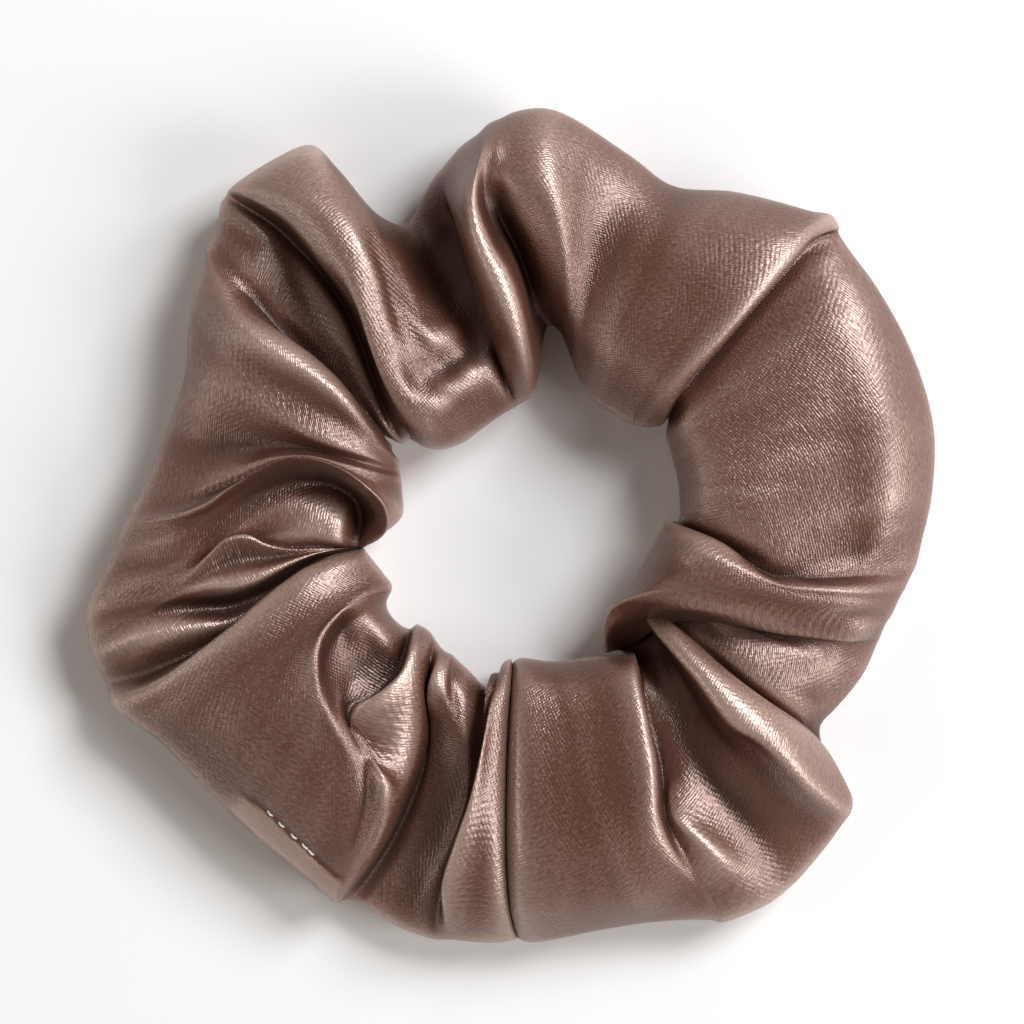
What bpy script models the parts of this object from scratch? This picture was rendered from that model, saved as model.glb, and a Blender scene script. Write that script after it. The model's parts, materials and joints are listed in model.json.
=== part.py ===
"""A gathered satin scrunchie, lying flat: a sewn sleeve over a turning loop of flat elastic.

Units are metres and +Z is up. The sleeve is one strip of satin, sewn along its length into a tube,
gathered along the elastic and closed end to end. Its folds are listed going round the loop.
"""

import math
from typing import NamedTuple

import bpy
import numpy as np
from mathutils import Vector
from mathutils.bvhtree import BVHTree

MM = 0.001

# Driving dimensions
HOLE_RADIUS = 19.0 * MM
RIM_RADIUS = 55.0 * MM
CLOTH = 0.5 * MM
CLEARANCE = 0.3 * MM
LOOP_INSET = 7.8 * MM
LOOP_LIFT = 3.3 * MM
ELASTIC_WIDTH = 5.0 * MM
ELASTIC_THICKNESS = 1.0 * MM
ELASTIC_LAP = 12.0 * MM
LAP_BEARING = 265.0
CLIMB = 40.0
THREAD_DIAMETER = 0.35 * MM
STITCH_LENGTH = 2.1 * MM
STITCH_SWAY = 0.15 * MM
TACK_TURNS = 5
TACK_LENGTH = 8.0 * MM
HEM_WIDTH = 3.6 * MM
HEM_START = 583.0
HEM_END = 600.0

# Sizes that follow from them
LOOP_RADIUS = HOLE_RADIUS + LOOP_INSET
LAP_STEP = ELASTIC_THICKNESS + CLEARANCE
LOOP_MIDDLE = LOOP_LIFT + ELASTIC_WIDTH / 2
THREAD_RADIUS = THREAD_DIAMETER / 2
STAND_OFF = CLEARANCE + THREAD_RADIUS
SEAM_GAP = THREAD_DIAMETER + 2 * (CLEARANCE + STITCH_SWAY)
TURNING_ROOM = THREAD_DIAMETER + 3 * CLEARANCE + CLOTH
COVER_HEIGHT = LOOP_LIFT + ELASTIC_WIDTH + TURNING_ROOM
COVER_INSIDE = LOOP_RADIUS - ELASTIC_THICKNESS / 2 - TURNING_ROOM
COVER_OUTSIDE = LOOP_RADIUS + ELASTIC_THICKNESS / 2 + LAP_STEP + TURNING_ROOM

SATIN = ((0.235, 0.125, 0.095), 0.38)
RUBBER_BRAID = ((0.62, 0.58, 0.54), 0.8)
BROWN_THREAD = ((0.16, 0.085, 0.065), 0.6)
PALE_THREAD = ((0.72, 0.66, 0.62), 0.55)


class FoldLine(NamedTuple):
    """A crest or a foot of the gathered cloth: a line over the top, from the hole to the rim.

    Bearings, in degrees, are at the hole, half way and at the rim. Hole and rim are how far the
    line's ends lie outside HOLE_RADIUS and RIM_RADIUS. Heights are above the table, near the
    elastic and near the rim. Lengths are in millimetres. Under a hollow line the cloth's underside
    stands off the table.
    """

    name: str
    bearings: tuple
    hole: float
    rim: float
    heights: tuple
    hollow: bool = False


FOLD_LINES = (
    FoldLine("seam_start", (263, 264.8, 268), 0, 0.3, (14.2, 14.2)),
    FoldLine("panel_near", (265.8, 267, 270), -0.2, 0.4, (16.9, 17.1)),
    FoldLine("panel_middle", (278, 278.4, 280.3), 0.2, -0.6, (17.9, 17.5)),
    FoldLine("panel_crest", (300.8, 292.4, 292.8), 2.4, 1.8, (18.9, 17.7)),
    FoldLine("panel_edge", (304.6, 294.6, 294.2), 3, 2.8, (16.3, 15.7)),
    FoldLine("fan_foot", (305.8, 296.2, 295.4), 3.8, 3.1, (10.9, 11.7), hollow=True),
    FoldLine("fan_ridge", (307.6, 298.2, 298.4), 4, 3.4, (10.9, 14.7)),
    FoldLine("fan_hollow", (311.5, 304, 305.6), 4, 3.2, (10.9, 11.9), hollow=True),
    FoldLine("spur_foot", (314.4, 309.8, 312), 3.8, 1.9, (12.3, 14.1)),
    FoldLine("spur_crest", (316.8, 313.8, 315.2), 0.8, 1.1, (18.3, 18.1)),
    FoldLine("spur_edge", (319.6, 320, 318.4), 1, 0, (16.9, 15.3)),
    FoldLine("wing_foot", (321.4, 321.4, 321), 2.4, -6, (11.3, 10.1), hollow=True),
    FoldLine("wing_ridge", (322.6, 323.6, 324), 2.4, -9, (13.3, 12.1)),
    FoldLine("wing_middle", (323.8, 331, 333), 1.8, -8, (12.9, 12.7)),
    FoldLine("mouth_foot", (324.8, 333.4, 338), 1.4, -7.8, (12.3, 12.3), hollow=True),
    FoldLine("mouth_lip", (325.8, 334.8, 340.5), -2.5, -7.7, (16.3, 14.5)),
    FoldLine("mouth_face", (330, 338.8, 344), -3.6, -7.3, (18.9, 16.1)),
    FoldLine("mouth_back", (342, 343.2, 347), -3.6, -6.8, (19.9, 16.7)),
    FoldLine("mouth_edge", (354.6, 345.6, 350.4), -2.2, -6, (17.7, 15.3)),
    FoldLine("broad_foot", (357.4, 347.2, 352.6), -0.4, -5.4, (12.9, 12.7), hollow=True),
    FoldLine("broad_near", (367, 362, 363), -0.1, -3.6, (16.5, 14.9)),
    FoldLine("broad_middle", (380, 380, 380), 0.3, -2, (15.7, 16.1)),
    FoldLine("broad_end", (394.6, 400.4, 400.6), 1.8, -2, (13.7, 14.5)),
    FoldLine("lap_foot", (396.6, 402.8, 403.4), 2.4, -1.6, (12.5, 13.1), hollow=True),
    FoldLine("lap_crest", (398, 404.4, 405.2), 1, -0.8, (18.3, 18.7)),
    FoldLine("lobe_near", (404, 410.4, 411.2), -1.7, -3.7, (19, 18.3)),
    FoldLine("lobe_middle", (414, 420, 420), -2.3, -6.6, (18.5, 17.1)),
    FoldLine("lobe_dip", (426, 429, 428), -1.8, -9.1, (17.3, 15.3)),
    FoldLine("lobe_trough", (434, 437, 436), 0.4, -7, (16.3, 15.9)),
    FoldLine("lobe_crest", (440, 446, 447.5), 3.4, -3, (17.7, 20.6)),
    FoldLine("lobe_edge", (444, 452, 453), 4, -3.2, (15.3, 20.4)),
    FoldLine("hook_foot", (447, 455.2, 455.4), 4, -4, (11.9, 19.4), hollow=True),
    FoldLine("hook_right", (449.4, 458.6, 457.4), -2, -4.8, (19.9, 20.1)),
    FoldLine("hook_crest", (452, 461.4, 459), -3.6, -5.4, (21.8, 20.7)),
    FoldLine("hook_left", (456, 463.8, 462), -4.2, -7, (18.7, 16.1)),
    FoldLine("notch_foot", (461, 466, 466.6), -4.6, -9.8, (11.1, 9.3), hollow=True),
    FoldLine("notch", (467, 470, 471), -5.2, -12.4, (10.9, 7.7), hollow=True),
    FoldLine("peak_foot", (474, 475.6, 475), -5.5, -14, (13.5, 9.3)),
    FoldLine("peak_slope", (494, 484, 479.6), -5.7, -3.6, (17.3, 17.5)),
    FoldLine("peak_crest", (503, 487.2, 481.4), -4.3, 0.8, (18.7, 20.8)),
    FoldLine("peak_edge", (506.8, 490.8, 491), -1, 2, (16.7, 17.3)),
    FoldLine("slot_foot", (508.8, 492.8, 493.2), 0.6, 2.2, (10.9, 9.5), hollow=True),
    FoldLine("slot_pleat", (510.8, 495.8, 495.8), 2.2, 1.6, (13.1, 11.7)),
    FoldLine("ramp_foot", (512.6, 503.8, 500.8), 2.8, -0.6, (11.1, 9.7), hollow=True),
    FoldLine("ramp_edge", (514, 505.6, 502.6), 1.9, -1.1, (15.7, 14.7)),
    FoldLine("ramp_crest", (516, 508.8, 505), 1.3, -2, (17.5, 16.7)),
    FoldLine("ramp_dip", (518.6, 514, 511.5), 0, -4.2, (15.2, 13.7)),
    FoldLine("step_crest", (520.8, 519.4, 517.6), -0.2, -6.4, (17, 15.1)),
    FoldLine("step_foot", (523, 525, 528), -0.6, -6.1, (14.1, 11.5), hollow=True),
    FoldLine("roll_crest", (527, 528.4, 537), -1.2, -3.6, (18.7, 15.7)),
    FoldLine("roll_edge", (536, 531.4, 540), -1.6, -2.4, (17.7, 15.1)),
    FoldLine("pocket_foot", (543, 535.6, 543), 1, -1, (12.3, 13.9), hollow=True),
    FoldLine("pocket_floor", (547.4, 542, 546.4), 4, 0.4, (13.9, 13.7)),
    FoldLine("cheek_crest", (550, 551.6, 553), 4, 4.2, (14.9, 14.1)),
    FoldLine("cheek_foot", (551.6, 555, 555.6), 4, 4.8, (11.1, 9.3), hollow=True),
    FoldLine("cheek_low", (552.4, 557.4, 557.8), 4, 5, (11, 12.8)),
    FoldLine("apron_foot", (553.2, 559.4, 562), 4, 4.6, (11, 9.8), hollow=True),
    FoldLine("apron_edge", (554.8, 561, 564.8), 3.4, 4.4, (16.3, 16.3)),
    FoldLine("apron_middle", (562, 567.4, 571), 2, 1.4, (17.7, 17.3)),
    FoldLine("cup_ridge", (570, 575.4, 586), 3.3, -0.1, (18.3, 17.7)),
    FoldLine("cup_floor", (578, 584, 596), 3.6, 0.3, (12.9, 17.8)),
    FoldLine("cup_foot", (583, 590.6, 601), 2.8, 1, (12.9, 17)),
    FoldLine("tongue_lip", (584.6, 593, 602), 1.9, 1.2, (17.1, 16.7)),
    FoldLine("tongue_crest", (588, 601, 603.4), 1.5, 1, (17.3, 16.1)),
    FoldLine("gap_foot", (593.4, 605.4, 605.2), 1.8, 0.2, (10.9, 9.3), hollow=True),
    FoldLine("gap_pleat", (599, 609, 609.6), 2.1, 0.8, (13.1, 10.5)),
    FoldLine("roll_foot", (613.6, 616.4, 616.4), 4, 1.4, (11.3, 11.3), hollow=True),
    FoldLine("seam_roll", (616.6, 620, 622), 0.3, 0.9, (17.3, 17.1)),
)
FULL_TURN = 360.0
HOLE_EDGE_SHARE = 0.52
RIM_EDGE_SHARE = 0.5

# Where the loft has points, from the hole's edge (0) to the rim (1), over the top and back below
ACROSS_TOP = np.array((0, 0.08, 0.27, 0.54, 0.82, 1))
ACROSS_BELOW = np.array((0.88, 0.62, 0.1))
ACROSS = np.concatenate([ACROSS_TOP, ACROSS_BELOW])
HALF_WAY = 0.5
SHOULDER = 1 / 3
HOLE_ROUNDING = 2.0
RIM_ROUNDING = 1.8
COVER_SLOPE = 1.0
UNDERSIDE_LIFT = 1.2 * MM
BAND_STEPS = 72
TACK_POINTS = 8
SQUARENESS = 1.35


class Section(NamedTuple):
    """One cross-section: bearings, hole and rim radius, height near each, and lift of its underside."""

    bearings: np.ndarray
    hole: float
    rim: float
    inner: float
    outer: float
    lift: float


def clear_scene():
    """Removes what the start-up scene holds."""
    for item in list(bpy.data.objects):
        bpy.data.objects.remove(item, do_unlink=True)


def finish(name, look):
    """A plain fabric material of the given colour and roughness."""
    colour, roughness = look
    material = bpy.data.materials.new(name)
    material.use_nodes = True
    shader = material.node_tree.nodes["Principled BSDF"]
    shader.inputs["Base Color"].default_value = (*colour, 1)
    shader.inputs["Roughness"].default_value = roughness
    shader.inputs["Metallic"].default_value = 0
    return material


def place(item, parent, collection, look):
    """Puts a piece under the loop's empty, with its own material."""
    collection.objects.link(item)
    item.parent = parent
    item.data.materials.append(finish(item.name, look))
    return item


def line_section(line):
    """The section along one fold line."""
    inner, outer = (height * MM for height in line.heights)
    radii = (HOLE_RADIUS + line.hole * MM, RIM_RADIUS + line.rim * MM)
    lift = UNDERSIDE_LIFT if line.hollow else 0
    return Section(np.array(line.bearings), *radii, inner, outer, lift)


def sleeve_sections():
    """Every section round the sleeve, from one end of the strip to the other."""
    sections = [line_section(line) for line in FOLD_LINES]
    start = sections[0]
    radii = np.linspace(start.hole, start.rim, len(start.bearings))
    end_bearings = start.bearings + FULL_TURN - np.degrees(SEAM_GAP / radii)
    return [*sections, start._replace(bearings=end_bearings)]


def rounding(share, power):
    """A rounded shoulder: 0 at the edge of the cloth, rising steeply and levelling off at 1."""
    return (1 - (1 - np.clip(share, 0, 1)) ** power) ** (1 / power)


def top_height(section, across, radius):
    """Height of the upper cloth, which never sinks into the room where the elastic turns."""
    share = np.clip((across - SHOULDER) / SHOULDER, 0, 1)
    height = section.inner + (section.outer - section.inner) * share
    hole_edge = HOLE_EDGE_SHARE * section.inner
    rim_edge = RIM_EDGE_SHARE * section.outer
    near_hole = rounding(across / SHOULDER, HOLE_ROUNDING)
    near_rim = rounding((1 - across) / SHOULDER, RIM_ROUNDING)
    height = hole_edge + (height - hole_edge) * near_hole
    height = rim_edge + (height - rim_edge) * near_rim
    outside = np.maximum(COVER_INSIDE - radius, radius - COVER_OUTSIDE)
    cover = COVER_HEIGHT - COVER_SLOPE * np.maximum(outside, 0)
    covered = (across > 0) & (across < 1)
    return np.where(covered, np.maximum(height, cover), height)


def section_shape(section):
    """Radius, height and angle of one section's ring, over the top from the hole and back below."""
    hole = min(section.hole, COVER_INSIDE - CLOTH)
    radius = hole + (section.rim - hole) * ACROSS
    curve = np.polyfit((0, HALF_WAY, 1), section.bearings, 2)
    angle = np.radians(np.polyval(curve, ACROSS))
    top = top_height(section, ACROSS_TOP, radius[: len(ACROSS_TOP)])
    below = np.full(len(ACROSS_BELOW), section.lift)
    return radius, np.concatenate([top, below]), angle


def in_space(radius, height, angle):
    """Points of polar coordinates about the loop's axis."""
    return np.column_stack([radius * np.cos(angle), radius * np.sin(angle), height])


def inset(radius, height, distance):
    """A section's ring moved this far into the sleeve, corner by corner."""
    ring = np.column_stack([radius, height])
    ahead = np.roll(ring, -1, axis=0) - ring
    back = np.roll(ring, 1, axis=0) - ring
    ahead /= np.linalg.norm(ahead, axis=1, keepdims=True)
    back /= np.linalg.norm(back, axis=1, keepdims=True)
    # The ring runs clockwise when seen with the radius to the right, so its inside is to the right.
    inward = np.column_stack([ahead[:, 1] - back[:, 1], back[:, 0] - ahead[:, 0]])
    inward /= np.linalg.norm(inward, axis=1, keepdims=True)
    side = np.column_stack([ahead[:, 1], -ahead[:, 0]])
    reach = distance / np.sum(inward * side, axis=1, keepdims=True)
    return (ring + inward * reach).T


def make_sleeve(sections):
    """The gathered tube of satin: a loft through the sections, open at the closing seam."""
    rings = [in_space(*section_shape(section)) for section in sections]
    count = len(ACROSS)
    faces = []
    for ring in range(len(rings) - 1):
        for spot in range(count):
            beside = (spot + 1) % count
            near, far = ring * count, (ring + 1) * count
            faces.append((near + spot, near + beside, far + beside, far + spot))
    mesh = bpy.data.meshes.new("satin_sleeve")
    mesh.from_pydata(np.concatenate(rings).tolist(), [], faces)
    mesh.shade_smooth()
    sleeve = bpy.data.objects.new("satin_sleeve", mesh)
    sleeve.modifiers.new("diagonals", "TRIANGULATE")
    wall = sleeve.modifiers.new("cloth", "SOLIDIFY")
    wall.thickness = CLOTH
    wall.offset = -1
    return sleeve


def make_thread(name, points):
    """A sewing thread through the points."""
    curve = bpy.data.curves.new(name, "CURVE")
    curve.dimensions = "3D"
    curve.bevel_depth = THREAD_RADIUS
    curve.bevel_resolution = 1
    curve.use_fill_caps = True
    spline = curve.splines.new("POLY")
    spline.points.add(len(points) - 1)
    for spot, point in zip(spline.points, points):
        spot.co = (*point, 1)
    return bpy.data.objects.new(name, curve)


def lap_angles():
    """Where the elastic's lap starts, and how far round it goes, in radians."""
    return math.radians(LAP_BEARING), ELASTIC_LAP / LOOP_RADIUS


def make_elastic():
    """The flat band, one turn and a lap long, whose outer end climbs over its inner end."""
    start, lap = lap_angles()
    turned = np.linspace(0, math.tau + lap, BAND_STEPS)
    climb = np.clip(1 - (math.tau - turned) / math.radians(CLIMB), 0, 1)
    middle = LOOP_RADIUS + LAP_STEP * climb * climb * (3 - 2 * climb)
    sides = [(middle + side * ELASTIC_THICKNESS / 2, turned) for side in (1, -1)]
    outline = np.concatenate([
        in_space(sides[0][0], np.zeros(BAND_STEPS), start + turned),
        in_space(sides[1][0], np.zeros(BAND_STEPS), start + turned)[::-1],
    ])
    curve = bpy.data.curves.new("elastic_band", "CURVE")
    curve.dimensions = "2D"
    curve.fill_mode = "BOTH"
    curve.extrude = ELASTIC_WIDTH / 2
    spline = curve.splines.new("POLY")
    spline.points.add(len(outline) - 1)
    for spot, point in zip(spline.points, outline):
        spot.co = (*point, 1)
    spline.use_cyclic_u = True
    elastic = bpy.data.objects.new("elastic_band", curve)
    elastic.location.z = LOOP_MIDDLE
    return elastic


def make_tack():
    """The thread wound round the lapped ends, turn beside turn."""
    start, lap = lap_angles()
    wound = np.arange(TACK_TURNS * TACK_POINTS + 1) / TACK_POINTS
    along = (wound / TACK_TURNS - HALF_WAY) * TACK_LENGTH / LOOP_RADIUS
    around = wound * math.tau
    deep = (ELASTIC_THICKNESS + LAP_STEP) / 2 + STAND_OFF
    tall = ELASTIC_WIDTH / 2 + STAND_OFF
    radius = LOOP_RADIUS + LAP_STEP / 2 + deep * np.clip(SQUARENESS * np.cos(around), -1, 1)
    height = tall * np.clip(SQUARENESS * np.sin(around), -1, 1)
    points = in_space(radius, height, start + lap / 2 + along)
    apart = np.linalg.norm(points[TACK_POINTS:] - points[:-TACK_POINTS], axis=1)
    print(f"elastic_tack_thread: least gap to itself {(apart.min() - THREAD_DIAMETER) / MM:.2f} mm")
    tack = make_thread("elastic_tack_thread", points)
    tack.location.z = LOOP_MIDDLE
    return tack


def make_long_seam(sections):
    """The thread of the lengthwise seam, which is turned to the underside and lies on it, within."""
    spot = len(ACROSS_TOP) + 1
    points = []
    for section in sections:
        radius, height, angle = section_shape(section)
        within = inset(radius, height, CLOTH + STAND_OFF)
        points.append(in_space(*within, angle)[spot])
    return make_thread("long_seam_thread", points)


def make_closing_seam(sections):
    """The hand stitches that lace the sleeve's two ends together, zigzag in the gap between them."""
    radius, height, angle = section_shape(sections[0])
    far_angle = section_shape(sections[-1])[2] - math.tau
    radius, height = inset(radius, height, CLOTH / 2)
    ring = in_space(radius, height, (angle + far_angle) / 2)
    ring = np.concatenate([ring, ring[:1]])
    lengths = np.concatenate([[0], np.cumsum(np.linalg.norm(np.diff(ring, axis=0), axis=1))])
    stitches = int((lengths[-1] - STITCH_LENGTH) / STITCH_LENGTH)
    stops = np.sort(np.concatenate([np.arange(2 * stitches) * STITCH_LENGTH / 2, lengths[1:-1]]))
    stops = stops[stops <= lengths[-1] - STITCH_LENGTH]
    path = np.column_stack([np.interp(stops, lengths, ring[:, axis]) for axis in range(3)])
    across = in_space(radius, height, angle)[0] - in_space(radius, height, far_angle)[0]
    across /= np.linalg.norm(across)
    sway = STITCH_SWAY * np.sin(math.tau * stops / STITCH_LENGTH + math.tau / 8)
    return make_thread("closing_seam_thread", path + sway[:, None] * across)


def hem_line(sections):
    """Points along the row of hem stitches, in plan: half a stitch apart, one hem width from the rim."""
    bearings = [section.bearings[-1] for section in sections]
    rims = [section.rim for section in sections]
    middle_radius = np.interp((HEM_START + HEM_END) / 2, bearings, rims) - HEM_WIDTH
    step = math.degrees(STITCH_LENGTH / 2 / middle_radius)
    spots = np.arange(HEM_START, HEM_END, step)
    radius = np.interp(spots, bearings, rims) - HEM_WIDTH
    return in_space(radius, np.zeros(len(spots)), np.radians(spots))


def make_hem_threads(sections, sleeve):
    """The hem's two threads: the needle's on the cloth and the bobbin's under it."""
    cloth = BVHTree.FromObject(sleeve, bpy.context.evaluated_depsgraph_get())
    above, beneath = [], []
    for number, spot in enumerate(hem_line(sections)):
        hit, normal, _, _ = cloth.ray_cast(Vector((spot[0], spot[1], RIM_RADIUS)), Vector((0, 0, -1)))
        raised = STITCH_SWAY * (number % 2)
        above.append(hit + normal * (STAND_OFF + raised))
        beneath.append(hit - normal * (CLOTH + STAND_OFF + raised))
    return make_thread("hem_needle_thread", above), make_thread("hem_bobbin_thread", beneath)


def main():
    clear_scene()
    collection = bpy.data.collections.new("scrunchie")
    bpy.context.scene.collection.children.link(collection)
    loop = bpy.data.objects.new("loop_centre", None)
    collection.objects.link(loop)
    sections = sleeve_sections()
    sleeve = place(make_sleeve(sections), loop, collection, SATIN)
    place(make_elastic(), loop, collection, RUBBER_BRAID)
    place(make_tack(), loop, collection, PALE_THREAD)
    place(make_long_seam(sections), loop, collection, BROWN_THREAD)
    place(make_closing_seam(sections), loop, collection, BROWN_THREAD)
    bpy.context.view_layer.update()
    needle, bobbin = make_hem_threads(sections, sleeve)
    place(needle, loop, collection, PALE_THREAD)
    place(bobbin, loop, collection, PALE_THREAD)
    corners = np.array(sleeve.bound_box)
    middle = (corners.min(axis=0) + corners.max(axis=0)) / 2
    loop.location = (-middle[0], -middle[1], -corners[:, 2].min())
    print("loop centre at", ", ".join(f"{value / MM:.3f}" for value in loop.location), "mm")


main()
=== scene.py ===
"""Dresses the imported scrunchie: gathered satin, braided elastic, sewing threads and a pale studio."""

import json
import logging
import math
from dataclasses import dataclass
from enum import Enum

import bpy
import numpy as np
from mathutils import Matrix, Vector, noise
from mathutils.bvhtree import BVHTree


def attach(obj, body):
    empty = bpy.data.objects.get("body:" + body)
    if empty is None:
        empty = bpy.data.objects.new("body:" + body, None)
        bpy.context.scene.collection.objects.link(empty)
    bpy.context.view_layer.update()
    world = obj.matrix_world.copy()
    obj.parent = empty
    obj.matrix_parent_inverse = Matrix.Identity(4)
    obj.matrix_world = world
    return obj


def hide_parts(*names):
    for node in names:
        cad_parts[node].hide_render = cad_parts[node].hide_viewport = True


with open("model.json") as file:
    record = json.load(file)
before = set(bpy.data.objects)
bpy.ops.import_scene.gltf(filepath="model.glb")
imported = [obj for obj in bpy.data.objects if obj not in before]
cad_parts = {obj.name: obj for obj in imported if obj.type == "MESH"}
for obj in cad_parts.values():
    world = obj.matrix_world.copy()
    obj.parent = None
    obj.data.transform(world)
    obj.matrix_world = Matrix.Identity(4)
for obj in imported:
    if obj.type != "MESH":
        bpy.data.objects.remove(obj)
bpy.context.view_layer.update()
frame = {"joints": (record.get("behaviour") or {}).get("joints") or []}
LOG = logging.getLogger("scrunchie")
MM = 0.001
LOOP_CENTRE = np.array(frame["joints"][0]["pos_m"])
# The fold attribute is painted light: painted shade in valleys and on steep sides, painted highlights on
# crests and on the hem's band.
FLAT_MAP, PAINTED_LIGHT_LAYER, CRIMP_LAYER = "flat", "fold", "crimp"
# Where the plain colour lies on a colour ramp between its darkest end, at 0, and its palest, at 1. On the
# satin these ends are painted shade in a valley and a painted highlight on a crest; on other finishes they
# are only the grain's flecks.
PLAIN_FOLD = 0.5
# The scale at which a wave texture draws one band to a unit.
BAND_SCALE = 0.314
# Bearings in degrees and radii in millimetres of the hem's stitch line.
HEM_LINE = ((222, 51.9), (228, 51.2), (235, 51.8), (241, 53))


class Body(Enum):
    """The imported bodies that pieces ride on."""

    SLEEVE = "sleeve"
    ELASTIC = "elastic"


class Slot(Enum):
    """The record's material slots."""

    SATIN = "satin"
    ELASTIC = "elastic"
    BROWN_THREAD = "brown_thread"
    PALE_THREAD = "pale_thread"


@dataclass(frozen=True)
class Rib:
    """One line of the cloth over the top, from the hole's edge to the rim.

    Each point is a bearing in degrees, and a radius and a height in millimetres. Lift says how far
    the underside stands off the table below this line, from 0, lying on it, to 1.
    """

    name: str
    points: tuple
    lift: float = 0.0


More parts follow.
